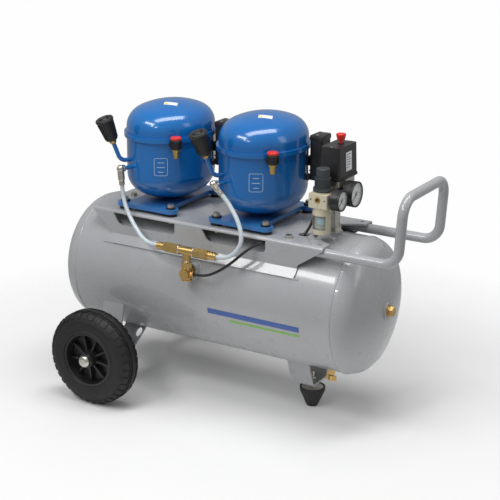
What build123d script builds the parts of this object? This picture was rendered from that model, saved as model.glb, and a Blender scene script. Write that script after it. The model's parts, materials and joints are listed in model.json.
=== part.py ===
from build123d import *
from math import asin, cos, degrees, pi, radians, sin
import os

# Silent air compressor: two hermetic motor-compressors on a 50 litre tank with two wheels,
# a rubber foot and a push handle. Millimetres, +X towards the handle, -Y the working side,
# +Z up, origin on the floor under the middle of the overall box.

# ---------------------------------------------------------------- driving dimensions
OVERALL_LENGTH = 862.0          # left head's apex to the outside of the handle
RUN_GAP = 0.05                  # radial clearance of every turning or sliding fit
END_GAP = 0.5                   # side clearance of turning parts
PORT_R = 6.58                   # G1/4 thread

# tank
TANK_R = 150.0
TANK_WALL = 3.0
TANK_HALF = 323.5               # half of the straight shell
TANK_DISH = 66.0                # depth of each dished head
TANK_KNUCKLE = 45.0
TANK_X = TANK_HALF + TANK_DISH - OVERALL_LENGTH / 2
TANK_Z = 259.0
BEAD = 1.2                      # height of the weld bead between shell and head
BEAD_W = 6.0
SOCKET_R = 17.0
SOCKET_FRONT_Y = -150.0
DRAIN_X = 219.0
DRAIN_SOCKET_R = 12.0
DRAIN_SOCKET_Z = 100.0
END_SOCKET_R = 20.0
END_X = TANK_X + TANK_HALF + TANK_DISH

# wheels and stub axles
WHEEL_X = -250.0
WHEEL_R = 108.0
WHEEL_WIDTH = 63.0
WHEEL_OUT_Y = 270.0             # outer face of each tyre
RIM_R = 61.0
RIM_WALL = 4.0
AXLE_R = 8.0
HUB_R = 17.0
HUB_CAP_Y = 283.0

# wheel brackets and foot, folded sheet
BRACKET_X0, BRACKET_X1 = -296.0, -240.0
BRACKET_SHEET = 4.0
BRACKET_Y = 148.0               # outer face of the plate that carries the axle
FOOT_X = 173.0
FOOT_BRACKET_X0, FOOT_BRACKET_X1 = 137.0, 191.0
FOOT_WEB_Z = 58.0
FOOT_H = 45.0
FOOT_TOP_R = 28.5
FOOT_BOTTOM_R = 11.5

# saddle plate on top of the tank
SADDLE_X0, SADDLE_X1 = -340.0, 249.5
SADDLE_Y = 117.0
SADDLE_SHEET = 4.0
SADDLE_Z = TANK_Z + TANK_R + SADDLE_SHEET
BAND_Y = 127.0                  # lower edge of the band that lies on the tank
RAIL_Z = 380.0                  # lower edge of the skirt's windows

# handle, round tube
HANDLE_R = 10.65
HANDLE_WALL = 2.0
HANDLE_Y = SADDLE_Y - SADDLE_SHEET - HANDLE_R
HANDLE_Z = SADDLE_Z - SADDLE_SHEET - HANDLE_R
HANDLE_START_X = 150.0
HANDLE_TOP_Z = 538.0
HANDLE_TOP_X = OVERALL_LENGTH / 2 - HANDLE_R
HANDLE_LEAN = 8.0
HANDLE_BEND = 37.0

# motor-compressors
COMP_X = (-203.5, 37.5)         # left, right
COMP_Y = 5.0
BOLT_DX, BOLT_DY = 61.0, 95.0   # half of the mounting pattern
BOLT_R = 4.0
BASE_Z = 426.0                  # underside of the base plate
BASE_SHEET = 3.0
BASE_LIP = 6.0                  # depth of the plate's folded edge
EAR_WIDTH = 34.0
SHELL_Z = BASE_Z + BASE_SHEET
SEAM_Z = 580.0
DOME_Z = 651.0
SHELL_A = 92.0                  # half width of the oval shell along X
SHELL_B = 113.0                 # half width along Y
SHELL_WALL = 3.0
LOWER_DISH, LOWER_KNUCKLE = 62.0, 50.0
UPPER_DISH, UPPER_KNUCKLE = 55.0, 45.0
LIP, LIP_HALF = 5.0, 2.5
OVAL = SHELL_B / SHELL_A

# pump inside each shell
SHAFT_R = 8.0
ROTOR_R = 30.0
THROW = 9.0
CRANK_PIN_R = 5.0
PISTON_R = 14.0
BORE_Z = 546.0

# pipes on each shell, placed by the angle from -X towards -Y
SUCTION_ANGLE, SUCTION_Z = 63.0, 528.0
SUCTION_OUT, SUCTION_LEAN = 23.0, 0.38  # upright's distance from the shell, and how it leans
DISCHARGE_ANGLE, DISCHARGE_Z = 70.0, 514.0
OIL_ANGLE, OIL_Z = 132.5, 552.0
OIL_OUT = 20.0                  # oil pipe's distance from the shell
PIPE_R = 4.8
STUB_OUT = 31.0                 # discharge elbow's distance from the shell
SLEEVE = 14.0                   # clamped sleeve between elbow and hose

# valve tree on the front of the tank
VALVE_X, VALVE_Y, VALVE_Z = -52.0, -165.0, 318.0
TEE_Z = 368.0
TEE_HALF = 75.0

# riser, manifold, pressure switch, gauges and filter regulator
RISER_X, RISER_Y = 215.0, 5.0
PORT_Z = 501.0
MANIFOLD_R = 17.0
SWITCH_Y = 12.0
SWITCH_Z = 518.0
COVER_Z = 532.0
COVER_TOP_Z = 602.0
KNOB_X, KNOB_Y = 217.0, 17.0
KNOB_TRAVEL = 6.0
GAUGE_X = 265.0                 # front face of the large gauge
GAUGE_R = 27.5
SMALL_GAUGE_X = 263.0
SMALL_GAUGE_R = 22.0
REG_Y = -57.0
REG_R = 20.0
REG_Z0, REG_Z1 = 470.0, 516.0
BOWL_Z = 425.0

# hoses and the unloader tube: routes chosen by hand
HOSE_R = 4.75
UNLOADER_R = 3.0
HOSE_LEFT_ROUTE = [
    (-244.6, -129.5, 478), (-243, -129.5, 459), (-235, -133.5, 438), (-219, -141, 416),
    (-197, -150, 395), (-172, -160, 377), (-149, VALVE_Y, TEE_Z), (-127, VALVE_Y, TEE_Z)]
HOSE_RIGHT_ROUTE = [
    (14, -129.5, 495), (26.5, -129.5, 483.5), (44, -134.5, 466), (62, -142, 446.5),
    (74, -149.5, 426), (78, -155, 406), (70.7, -159.5, 388.6), (57.4, -163, 375.3),
    (40.2, VALVE_Y, TEE_Z), (23, VALVE_Y, TEE_Z)]
UNLOADER_ROUTE = [
    (-34, VALVE_Y, VALVE_Z), (-16, VALVE_Y, VALVE_Z), (5, -162, 323), (29, -156, 337),
    (53, -147, 357), (73, -137, 378), (91, -124, 394), (112, -107, 402.5), (137, -86, 401.5),
    (163, -62, 402.5), (177, -49, 419), (184, -39, 441), (187, -29, 463), (187, -20, 485),
    (187, -20, 506)]


# ---------------------------------------------------------------- helpers
def bar(start, end, radius, hole=0.0, mode=Mode.ADD):
    """Round bar or tube between two points."""
    run = Vector(*end) - Vector(*start)
    middle = Vector(*start) + run / 2
    with Locations(Plane(origin=middle, z_dir=run)):
        Cylinder(radius, run.length, mode=mode)
        if hole:
            Cylinder(hole, run.length, mode=Mode.SUBTRACT)


def hex_bar(start, end, across_flats):
    """Hexagonal bar between two points."""
    run = Vector(*end) - Vector(*start)
    with BuildSketch(Plane(origin=start, z_dir=run)) as hexagon:
        RegularPolygon(across_flats / 2, 6, major_radius=False)
    extrude(hexagon.sketch, amount=run.length)


def block(low, high, mode=Mode.ADD):
    """Rectangular block between two corners."""
    size = [b - a for a, b in zip(low, high)]
    middle = [(a + b) / 2 for a, b in zip(low, high)]
    with Locations(Vector(*middle)):
        Box(*size, mode=mode)


def dish(radius, depth, knuckle):
    """Knuckle and crown arcs of a dished end, from its rim (0, radius) to its apex (depth, 0)."""
    crown = ((radius - knuckle) ** 2 + depth**2 - knuckle**2) / (2 * (depth - knuckle))
    turn = degrees(asin((radius - knuckle) / (crown - knuckle)))
    CenterArc((0, radius - knuckle), knuckle, turn, 90 - turn)
    CenterArc((depth - crown, 0), crown, 0, turn)


def pipe_along(points, radius, bend, hole=0.0):
    """Bent bar or tube through the points."""
    with BuildLine() as path:
        FilletPolyline(*points, radius=bend)
    first = Vector(*points[1]) - Vector(*points[0])
    with BuildSketch(Plane(origin=points[0], z_dir=first)) as section:
        Circle(radius)
        if hole:
            Circle(hole, mode=Mode.SUBTRACT)
    sweep(section.sketch, path=path.line)


def cord_radii(points):
    """Bend radii of a hose: as large as the two runs at each point allow."""
    radii = []
    for before, here, after in zip(points, points[1:], points[2:]):
        run_in = Vector(*here) - Vector(*before)
        run_out = Vector(*after) - Vector(*here)
        half_turn = radians(run_in.get_angle(run_out)) / 2
        radii.append(0.45 * min(run_in.length, run_out.length) * cos(half_turn) / sin(half_turn))
    return radii


def report_hose(hose, points, radius):
    """Print a hose's length and radii, and its volume over its section times its length."""
    radii = cord_radii(points)
    with BuildLine() as path:
        FilletPolyline(*points, radius=radii)
    length = sum(edge.length for edge in path.edges())
    ratio = hose.part.volume / (pi * radius**2 * length)
    bends = ", ".join(f"{r:.0f}" for r in radii)
    print(f"{hose.part.label}: length {length:.1f}, radii {bends}, volume {ratio:.4f}")


def shell_point(side, angle, height, out=0.0):
    """Point on one compressor's oval shell, or outside it along the shell's normal."""
    foot = Vector(-SHELL_A * cos(radians(angle)), -SHELL_B * sin(radians(angle)), 0)
    normal = Vector(foot.X / SHELL_A**2, foot.Y / SHELL_B**2, 0).normalized()
    return Vector(COMP_X[side], COMP_Y, height) + foot + normal * out


def suction_point(side, rise):
    """Point on the leaning upright of a compressor's suction pipe."""
    return shell_point(side, SUCTION_ANGLE, SUCTION_Z + rise, SUCTION_OUT + SUCTION_LEAN * rise)


def at_compressors():
    """Both compressors' centre lines, on the floor."""
    return Locations((COMP_X[0], COMP_Y, 0), (COMP_X[1], COMP_Y, 0))


def mounting_points(height):
    """The eight mounting bolts' places at a height."""
    return [(x + dx, COMP_Y + dy, height)
            for x in COMP_X for dx in (-BOLT_DX, BOLT_DX) for dy in (-BOLT_DY, BOLT_DY)]


# ---------------------------------------------------------------- tank
with BuildPart() as tank_envelope:
    bar((TANK_X - TANK_HALF, 0, TANK_Z), (TANK_X + TANK_HALF, 0, TANK_Z), TANK_R)

with BuildPart() as tank_sockets:
    bar((VALVE_X, SOCKET_FRONT_Y, VALVE_Z), (VALVE_X, -126, VALVE_Z), SOCKET_R, PORT_R)
    bar((RISER_X, RISER_Y, 402), (RISER_X, RISER_Y, SADDLE_Z + 1), SOCKET_R, PORT_R)
    bar((DRAIN_X, 0, DRAIN_SOCKET_Z), (DRAIN_X, 0, 116), DRAIN_SOCKET_R, PORT_R)
    bar((END_X - 12, 0, TANK_Z), (END_X + 3, 0, TANK_Z), END_SOCKET_R, PORT_R)
tank_sockets.part.label = "tank_sockets"

with BuildPart() as tank_shell:
    bar((TANK_X - TANK_HALF, 0, TANK_Z), (TANK_X + TANK_HALF, 0, TANK_Z), TANK_R, TANK_R - TANK_WALL)
    bar((VALVE_X, SOCKET_FRONT_Y, VALVE_Z), (VALVE_X, -100, VALVE_Z), SOCKET_R, mode=Mode.SUBTRACT)
    bar((RISER_X, RISER_Y, 390), (RISER_X, RISER_Y, 420), SOCKET_R, mode=Mode.SUBTRACT)
    bar((DRAIN_X, 0, 90), (DRAIN_X, 0, 130), DRAIN_SOCKET_R, mode=Mode.SUBTRACT)
tank_shell.part.label = "tank_shell"

with BuildPart() as tank_heads:
    rim_plane = Plane(origin=(TANK_X + TANK_HALF, 0, TANK_Z), x_dir=(1, 0, 0), z_dir=(0, -1, 0))
    with BuildSketch(rim_plane):
        with BuildLine():
            dish(TANK_R, TANK_DISH, TANK_KNUCKLE)
            dish(TANK_R - TANK_WALL, TANK_DISH - TANK_WALL, TANK_KNUCKLE - TANK_WALL)
            Line((0, TANK_R), (0, TANK_R - TANK_WALL))
            Line((TANK_DISH, 0), (TANK_DISH - TANK_WALL, 0))
        make_face()
        with BuildLine():
            ThreePointArc((0, TANK_R), (BEAD_W / 2, TANK_R + BEAD), (BEAD_W, TANK_R - 1))
            Polyline((BEAD_W, TANK_R - 1), (BEAD_W, TANK_R - 2), (0, TANK_R - 2), (0, TANK_R))
        make_face()
    revolve(axis=Axis((TANK_X, 0, TANK_Z), (1, 0, 0)))
    mirror(about=Plane.YZ.offset(TANK_X))
    bar((END_X - 20, 0, TANK_Z), (END_X + 3, 0, TANK_Z), END_SOCKET_R, mode=Mode.SUBTRACT)
tank_heads.part.label = "tank_heads"

with BuildPart() as end_plug:
    bar((END_X - 10, 0, TANK_Z), (END_X + 3, 0, TANK_Z), PORT_R)
    bar((END_X + 3, 0, TANK_Z), (END_X + 6, 0, TANK_Z), 13)
    hex_bar((END_X + 6, 0, TANK_Z), (END_X + 15, 0, TANK_Z), 19)
end_plug.part.label = "end_plug"

DRAIN_BODY_Z = 86.0
DRAIN_KNOB_Z = 70.0
DRAIN_SCREW_R = 3.0

with BuildPart() as drain_body:
    bar((DRAIN_X, 0, DRAIN_SOCKET_Z), (DRAIN_X, 0, 112), PORT_R)
    hex_bar((DRAIN_X, 0, DRAIN_BODY_Z), (DRAIN_X, 0, DRAIN_SOCKET_Z), 17)
    bar((DRAIN_X, 0, DRAIN_BODY_Z), (DRAIN_X, 0, 106), DRAIN_SCREW_R + RUN_GAP, mode=Mode.SUBTRACT)
drain_body.part.label = "drain_body"

with BuildPart() as drain_screw:
    bar((DRAIN_X, 0, DRAIN_KNOB_Z), (DRAIN_X, 0, 105), DRAIN_SCREW_R)
    bar((DRAIN_X, 0, DRAIN_KNOB_Z), (DRAIN_X, 0, DRAIN_BODY_Z - 4), 6)
    block((DRAIN_X - 12, -1.5, DRAIN_KNOB_Z), (DRAIN_X + 12, 1.5, DRAIN_BODY_Z - 5))
drain_screw.part.label = "drain_screw"

# ---------------------------------------------------------------- saddle plate and handle
NOTCH = [(SADDLE_X1 + 1, -81), (242, -81), (214, -66), (190, -50),
         (190, 50), (214, 66), (242, 81), (SADDLE_X1 + 1, 81)]
CABLE_HOLE = (172, -53)
CABLE_HOLE_R = 12.0
EAR_HOLE = (234, 98)
SKIRT = [(SADDLE_X0, SADDLE_Z + 1), (SADDLE_X1, SADDLE_Z + 1), (SADDLE_X1, 405), (191, 365),
         (191, 335), (-283, 335), (-283, 358), (SADDLE_X0, 412)]
WINDOWS = [[(-280, 406), (-265, RAIL_Z), (-115, RAIL_Z), (-115, 406)],
           [(-46, 406), (-31, RAIL_Z), (114, RAIL_Z), (114, 406)]]

with BuildPart() as saddle:
    with BuildSketch(Plane.YZ.offset(SADDLE_X0)):
        with BuildLine():
            skirt_y = SADDLE_Y - SADDLE_SHEET / 2
            deck_z = SADDLE_Z - SADDLE_SHEET / 2
            FilletPolyline((0, deck_z), (skirt_y, deck_z), (skirt_y, 358), (BAND_Y + 2, 339), radius=5)
        trace(line_width=SADDLE_SHEET)
        mirror(about=Plane.YZ)
    extrude(amount=SADDLE_X1 - SADDLE_X0)
    add(tank_envelope.part, mode=Mode.SUBTRACT)
    with BuildSketch(Plane.XZ) as skirt_outline:
        Polygon(*SKIRT, align=None)
        fillet(skirt_outline.vertices().group_by(Axis.Y)[0], 14)
    extrude(amount=200, both=True, mode=Mode.INTERSECT)
    with BuildSketch(Plane.XZ) as window_outline:
        for window in WINDOWS:
            Polygon(*window, align=None)
        sills = window_outline.vertices().group_by(Axis.Y)[0].sort_by(Axis.X)
        fillet(sills[0::2], 16)
        fillet(window_outline.vertices().filter_by(lambda v: v.Y == RAIL_Z and v.X in (-115, 114)), 8)
    extrude(amount=200, both=True, mode=Mode.SUBTRACT)
    with BuildSketch(Plane.XY.offset(SADDLE_Z - 20)):
        Polygon(*NOTCH, align=None)
        with Locations(CABLE_HOLE):
            Circle(CABLE_HOLE_R)
        with Locations(EAR_HOLE, (EAR_HOLE[0], -EAR_HOLE[1])):
            Circle(4)
    extrude(amount=40, mode=Mode.SUBTRACT)
    with Locations(*mounting_points(SADDLE_Z)):
        Cylinder(BOLT_R, 20, mode=Mode.SUBTRACT)
saddle.part.label = "saddle"

with BuildPart() as handle:
    legs_x = HANDLE_TOP_X - HANDLE_LEAN
    pipe_along([(HANDLE_START_X, -HANDLE_Y, HANDLE_Z), (legs_x, -HANDLE_Y, HANDLE_Z),
                (HANDLE_TOP_X, -HANDLE_Y, HANDLE_TOP_Z), (HANDLE_TOP_X, HANDLE_Y, HANDLE_TOP_Z),
                (legs_x, HANDLE_Y, HANDLE_Z), (HANDLE_START_X, HANDLE_Y, HANDLE_Z)],
               HANDLE_R, HANDLE_BEND, hole=HANDLE_R - HANDLE_WALL)
handle.part.label = "handle"

# ---------------------------------------------------------------- wheel brackets, axles, wheels
AXLE_IN_Y = BRACKET_Y - BRACKET_SHEET
WHEEL_IN_Y = WHEEL_OUT_Y - WHEEL_WIDTH
SLEEVE_R = 13.0
AXLE_HEAD = 11.0
AXLE_END_Y = WHEEL_OUT_Y + 6

with BuildPart() as wheel_brackets:
    with BuildSketch(Plane.YZ.offset(BRACKET_X0)):
        with BuildLine():
            FilletPolyline((134, 212), (BRACKET_Y - 2, 160), (BRACKET_Y - 2, 82), (96, 88), (46, 122),
                           radius=8)
        trace(line_width=BRACKET_SHEET)
        mirror(about=Plane.YZ)
    extrude(amount=BRACKET_X1 - BRACKET_X0)
    add(tank_envelope.part, mode=Mode.SUBTRACT)
    bar((WHEEL_X, -200, WHEEL_R), (WHEEL_X, 200, WHEEL_R), AXLE_R, mode=Mode.SUBTRACT)
wheel_brackets.part.label = "wheel_brackets"

with BuildPart() as stub_axles:
    bar((WHEEL_X, -AXLE_END_Y, WHEEL_R), (WHEEL_X, -AXLE_IN_Y, WHEEL_R), AXLE_R)
    hex_bar((WHEEL_X, -AXLE_IN_Y + AXLE_HEAD, WHEEL_R), (WHEEL_X, -AXLE_IN_Y, WHEEL_R), 24)
    bar((WHEEL_X, -WHEEL_IN_Y + END_GAP, WHEEL_R), (WHEEL_X, -BRACKET_Y, WHEEL_R), SLEEVE_R)
    mirror(about=Plane.XZ)
stub_axles.part.label = "stub_axles"

with BuildPart() as hub_caps:
    for side in (-1, 1):
        bar((WHEEL_X, side * (WHEEL_OUT_Y + END_GAP), WHEEL_R), (WHEEL_X, side * HUB_CAP_Y, WHEEL_R), 14)
    domes = hub_caps.edges().filter_by(GeomType.CIRCLE).sort_by(Axis.Y)
    fillet([domes[0], domes[-1]], 8)
    bar((WHEEL_X, -AXLE_END_Y, WHEEL_R), (WHEEL_X, AXLE_END_Y, WHEEL_R), AXLE_R, mode=Mode.SUBTRACT)
hub_caps.part.label = "hub_caps"

RIB_COUNT = 9
TYRE_SHOULDER = 11.0
TREAD_GROOVE = 3.0


def wheel_plane(side):
    """Plane through a wheel's outer face: x along the axle towards the tank, y outwards."""
    return Plane(origin=(WHEEL_X, side * WHEEL_OUT_Y, WHEEL_R), x_dir=(0, -side, 0), z_dir=(side, 0, 0))


def make_rim(side):
    """Moulded rim: hub, ribbed web and barrel with two flanges."""
    axle = Axis((WHEEL_X, 0, WHEEL_R), (0, 1, 0))
    with BuildPart() as rim:
        with BuildSketch(wheel_plane(side)):
            with BuildLine():
                Polyline((4, RIM_R), (4, RIM_R - RIM_WALL), (26, RIM_R - RIM_WALL - 4), (26, HUB_R + 3),
                         (0, HUB_R), (0, AXLE_R + RUN_GAP), (WHEEL_WIDTH, AXLE_R + RUN_GAP),
                         (WHEEL_WIDTH, HUB_R), (31, HUB_R + 3), (31, RIM_R - RIM_WALL - 4),
                         (WHEEL_WIDTH - 4, RIM_R - RIM_WALL), (WHEEL_WIDTH - 4, RIM_R), (4, RIM_R))
            make_face()
        revolve(axis=axle)
        with BuildPart(mode=Mode.PRIVATE) as rib:
            with BuildSketch(wheel_plane(side)):
                with BuildLine():
                    Polyline((26.5, HUB_R + 2), (12, HUB_R + 1), (17, RIM_R - 8), (26.5, RIM_R - 7),
                             close=True)
                make_face()
            extrude(amount=2, both=True)
        for index in range(RIB_COUNT):
            add(rib.part.rotate(axle, index * 360 / RIB_COUNT))
    return rim


def make_tyre(side):
    """Solid tyre with rounded shoulders and two grooves round the tread."""
    with BuildPart() as tyre:
        with BuildSketch(wheel_plane(side)) as section:
            with BuildLine():
                Polyline((4, RIM_R), (0, RIM_R + 6), (0, WHEEL_R - 20), (TYRE_SHOULDER, WHEEL_R - 2),
                         (20, WHEEL_R), (WHEEL_WIDTH - 20, WHEEL_R),
                         (WHEEL_WIDTH - TYRE_SHOULDER, WHEEL_R - 2), (WHEEL_WIDTH, WHEEL_R - 20),
                         (WHEEL_WIDTH, RIM_R + 6), (WHEEL_WIDTH - 4, RIM_R), (4, RIM_R))
            make_face()
            for groove_x in (24, WHEEL_WIDTH - 24):
                with Locations((groove_x, WHEEL_R)):
                    Rectangle(3, 2 * TREAD_GROOVE, mode=Mode.SUBTRACT)
        revolve(axis=Axis((WHEEL_X, 0, WHEEL_R), (0, 1, 0)))
    return tyre


rim_front, rim_rear = make_rim(-1), make_rim(1)
tyre_front, tyre_rear = make_tyre(-1), make_tyre(1)
rim_front.part.label, rim_rear.part.label = "rim_front", "rim_rear"
tyre_front.part.label, tyre_rear.part.label = "tyre_front", "tyre_rear"

# ---------------------------------------------------------------- foot
with BuildPart() as foot_bracket:
    with BuildSketch(Plane.YZ.offset(FOOT_BRACKET_X0)):
        with BuildLine():
            web_z = FOOT_WEB_Z + BRACKET_SHEET / 2
            FilletPolyline((-56, 130), (-30, web_z), (30, web_z), (56, 130), radius=7)
        trace(line_width=BRACKET_SHEET)
    extrude(amount=FOOT_BRACKET_X1 - FOOT_BRACKET_X0)
    add(tank_envelope.part, mode=Mode.SUBTRACT)
    with Locations((FOOT_X, 0, FOOT_WEB_Z)):
        Cylinder(BOLT_R, 30, mode=Mode.SUBTRACT)
foot_bracket.part.label = "foot_bracket"

with BuildPart() as foot_rubber:
    with BuildSketch(Plane(origin=(FOOT_X, 0, 0), x_dir=(1, 0, 0), z_dir=(0, -1, 0))):
        with BuildLine():
            Polyline((0, 0), (FOOT_BOTTOM_R, 0), (FOOT_BOTTOM_R + 2, 3), (FOOT_TOP_R, FOOT_H - 8),
                     (FOOT_TOP_R, FOOT_H), (FOOT_TOP_R - 4, FOOT_H), (FOOT_TOP_R - 4, FOOT_H - 3),
                     (0, FOOT_H - 3), close=True)
        make_face()
    revolve(axis=Axis((FOOT_X, 0, 0), (0, 0, 1)))
    bar((FOOT_X, 0, FOOT_H - 20), (FOOT_X, 0, FOOT_H), BOLT_R, mode=Mode.SUBTRACT)
foot_rubber.part.label = "foot_rubber"

# ---------------------------------------------------------------- motor-compressors
def base_outline(ear, width, mode=Mode.ADD):
    """Outline of both base plates: an ear slot at each end and a web between them."""
    with at_compressors():
        for end in (-BOLT_DY, BOLT_DY):
            with Locations((0, end)):
                SlotCenterToCenter(2 * BOLT_DX, ear, mode=mode)
        Rectangle(width, 2 * BOLT_DY, mode=mode)


with BuildPart() as base_plates:
    with BuildSketch(Plane.XY.offset(BASE_Z)):
        base_outline(EAR_WIDTH, 104)
        with Locations(*[(x, y) for x, y, z in mounting_points(0)]):
            Circle(7, mode=Mode.SUBTRACT)
    extrude(amount=BASE_SHEET)
    with BuildSketch(Plane.XY.offset(BASE_Z - BASE_LIP)):
        base_outline(EAR_WIDTH, 104)
        base_outline(EAR_WIDTH - 2 * BASE_SHEET, 104 - 2 * BASE_SHEET, Mode.SUBTRACT)
    extrude(amount=BASE_LIP)
base_plates.part.label = "base_plates"

with BuildPart() as grommets:
    with Locations(*mounting_points(SADDLE_Z)):
        Cylinder(13, BASE_Z - SADDLE_Z, align=(Align.CENTER, Align.CENTER, Align.MIN))
        Cylinder(7, BASE_Z - SADDLE_Z + BASE_SHEET, align=(Align.CENTER, Align.CENTER, Align.MIN))
    with Locations(*mounting_points(SHELL_Z)):
        Cylinder(10.5, 4, align=(Align.CENTER, Align.CENTER, Align.MIN))
    with Locations(*mounting_points(SHELL_Z)):
        Cylinder(BOLT_R, 60, mode=Mode.SUBTRACT)
grommets.part.label = "grommets"

with BuildPart() as fasteners:
    for x, y, z in mounting_points(SHELL_Z + 4):
        bar((x, y, z), (x, y, z + 1.5), 9)
        hex_bar((x, y, z + 1.5), (x, y, z + 7), 13)
        bar((x, y, SADDLE_Z - 18), (x, y, z), BOLT_R)
        hex_bar((x, y, SADDLE_Z - SADDLE_SHEET - 6.5), (x, y, SADDLE_Z - SADDLE_SHEET), 13)
    for x, y in ((156, -91), (-305, 0)):
        bar((x, y, SADDLE_Z), (x, y, SADDLE_Z + 1.5), 9)
        hex_bar((x, y, SADDLE_Z + 1.5), (x, y, SADDLE_Z + 7), 13)
    bar((FOOT_X, 0, FOOT_H - 20), (FOOT_X, 0, FOOT_WEB_Z + 24), BOLT_R)
    bar((FOOT_X, 0, FOOT_H - 3), (FOOT_X, 0, FOOT_H - 1), FOOT_TOP_R - 4)
    hex_bar((FOOT_X, 0, FOOT_WEB_Z - 7), (FOOT_X, 0, FOOT_WEB_Z), 13)
    hex_bar((FOOT_X, 0, FOOT_WEB_Z + BRACKET_SHEET), (FOOT_X, 0, FOOT_WEB_Z + BRACKET_SHEET + 7), 13)
fasteners.part.label = "fasteners"

# Round profiles are revolved about the Z axis and then stretched along Y to the shell's oval.

def shell_profile(depth, knuckle, wall_z):
    """Half section of one shell half, its rim at zero: a straight wall and a dished end."""
    inner_r = SHELL_A - SHELL_WALL
    dish(SHELL_A, depth, knuckle)
    dish(inner_r, depth - SHELL_WALL, knuckle - SHELL_WALL)
    Line((depth, 0), (depth - SHELL_WALL, 0))
    Polyline((0, SHELL_A), (-wall_z, SHELL_A), (-wall_z, inner_r), (0, inner_r))


LOWER_WALL = SEAM_Z - SHELL_Z - LOWER_DISH
with BuildPart() as lower_pattern:
    with BuildSketch(Plane(origin=(0, 0, SEAM_Z - LOWER_WALL), x_dir=(0, 0, -1), z_dir=(0, -1, 0))):
        with BuildLine():
            shell_profile(LOWER_DISH, LOWER_KNUCKLE, LOWER_WALL)
        make_face()
        with Locations((LIP_HALF - LOWER_WALL, SHELL_A + LIP / 2 - 1)):
            Rectangle(2 * LIP_HALF, LIP + 2)
    revolve(axis=Axis.Z)
    scale(by=(1, OVAL, 1), about=(0, 0, 0))

UPPER_WALL = DOME_Z - UPPER_DISH - SEAM_Z
with BuildPart() as upper_pattern:
    with BuildSketch(Plane(origin=(0, 0, SEAM_Z + UPPER_WALL), x_dir=(0, 0, 1), z_dir=(0, 1, 0))):
        with BuildLine():
            shell_profile(UPPER_DISH, UPPER_KNUCKLE, UPPER_WALL)
        make_face()
        with Locations((LIP_HALF - UPPER_WALL, SHELL_A + LIP / 2 - 1)):
            Rectangle(2 * LIP_HALF, LIP + 2)
    revolve(axis=Axis.Z)
    scale(by=(1, OVAL, 1), about=(0, 0, 0))

shells = {}
for pattern, half in ((lower_pattern, "lower"), (upper_pattern, "upper")):
    for centre_x, side in zip(COMP_X, ("left", "right")):
        with BuildPart() as shell:
            with Locations((centre_x, COMP_Y, 0)):
                add(pattern.part)
        shell.part.label = f"{half}_shell_{side}"
        shells[shell.part.label] = shell

with BuildPart() as start_boxes:
    with BuildSketch(Plane.XY.offset(507)):
        with at_compressors():
            with Locations((110, 52)):
                RectangleRounded(30, 44, 6)
    extrude(amount=98)
    with BuildSketch(Plane.XY.offset(535)):
        with at_compressors():
            with Locations((90, 52)):
                Rectangle(14, 20)
    extrude(amount=20)
    for shell in shells.values():
        add(shell.part, mode=Mode.SUBTRACT)
start_boxes.part.label = "start_boxes"

with BuildPart() as shell_pipes:
    for side in (0, 1):
        pipe_along([shell_point(side, SUCTION_ANGLE, SUCTION_Z, -3), suction_point(side, 0),
                    suction_point(side, 42)], PIPE_R, 18)
        bar(shell_point(side, DISCHARGE_ANGLE, DISCHARGE_Z, -3),
            shell_point(side, DISCHARGE_ANGLE, DISCHARGE_Z, STUB_OUT - 6), PIPE_R)
        bar(shell_point(side, OIL_ANGLE, OIL_Z, -3), shell_point(side, OIL_ANGLE, OIL_Z, OIL_OUT - 4), PIPE_R)
    for side in ("left", "right"):
        add(shells[f"lower_shell_{side}"].part, mode=Mode.SUBTRACT)
shell_pipes.part.label = "shell_pipes"

with BuildPart() as shell_fittings:
    for side in (0, 1):
        bar(suction_point(side, 42), suction_point(side, 50), 7)
        with Locations(Plane(origin=shell_point(side, OIL_ANGLE, OIL_Z - 6, OIL_OUT))):
            Cone(6, 8.5, 21, align=(Align.CENTER, Align.CENTER, Align.MIN))
    for side in (0, 1):
        bar(shell_point(side, OIL_ANGLE, OIL_Z, 0), shell_point(side, OIL_ANGLE, OIL_Z, OIL_OUT - 4), PIPE_R,
            mode=Mode.SUBTRACT)
shell_fittings.part.label = "shell_fittings"

with BuildPart() as suction_filters:
    for side in (0, 1):
        bottom, top = suction_point(side, 50), suction_point(side, 97)
        with Locations(Plane(origin=bottom, z_dir=top - bottom)):
            Cone(13, 18, (top - bottom).length - 6, align=(Align.CENTER, Align.CENTER, Align.MIN))
            with Locations((0, 0, (top - bottom).length - 6)):
                Cylinder(19.5, 6, align=(Align.CENTER, Align.CENTER, Align.MIN))
suction_filters.part.label = "suction_filters"

with BuildPart() as oil_collars:
    for side in (0, 1):
        bar(shell_point(side, OIL_ANGLE, OIL_Z + 15, OIL_OUT),
            shell_point(side, OIL_ANGLE, OIL_Z + 35, OIL_OUT), 13)
    chamfer(oil_collars.edges().filter_by(GeomType.CIRCLE), 2)
oil_collars.part.label = "oil_collars"

with BuildPart() as oil_caps:
    for side in (0, 1):
        bar(shell_point(side, OIL_ANGLE, OIL_Z + 35, OIL_OUT),
            shell_point(side, OIL_ANGLE, OIL_Z + 41, OIL_OUT), 12)
    fillet(oil_caps.edges().filter_by(GeomType.CIRCLE).group_by(Axis.Z)[-1], 2)
oil_caps.part.label = "oil_caps"

# ---------------------------------------------------------------- pump inside each shell
STATOR_Z0, STATOR_Z1 = 456.0, 494.0
SPRING_Z = 445.5
BLOCK_Z = 500.0
BEARING_TOP = 525.0
WEB_Z0, WEB_Z1 = 533.0, 540.0

with BuildPart() as stators:
    with at_compressors():
        with Locations((0, 0, STATOR_Z0)):
            Cylinder(60, STATOR_Z1 - STATOR_Z0, align=(Align.CENTER, Align.CENTER, Align.MIN))
            Cylinder(ROTOR_R + 1, 200, mode=Mode.SUBTRACT)
stators.part.label = "stators"

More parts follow.
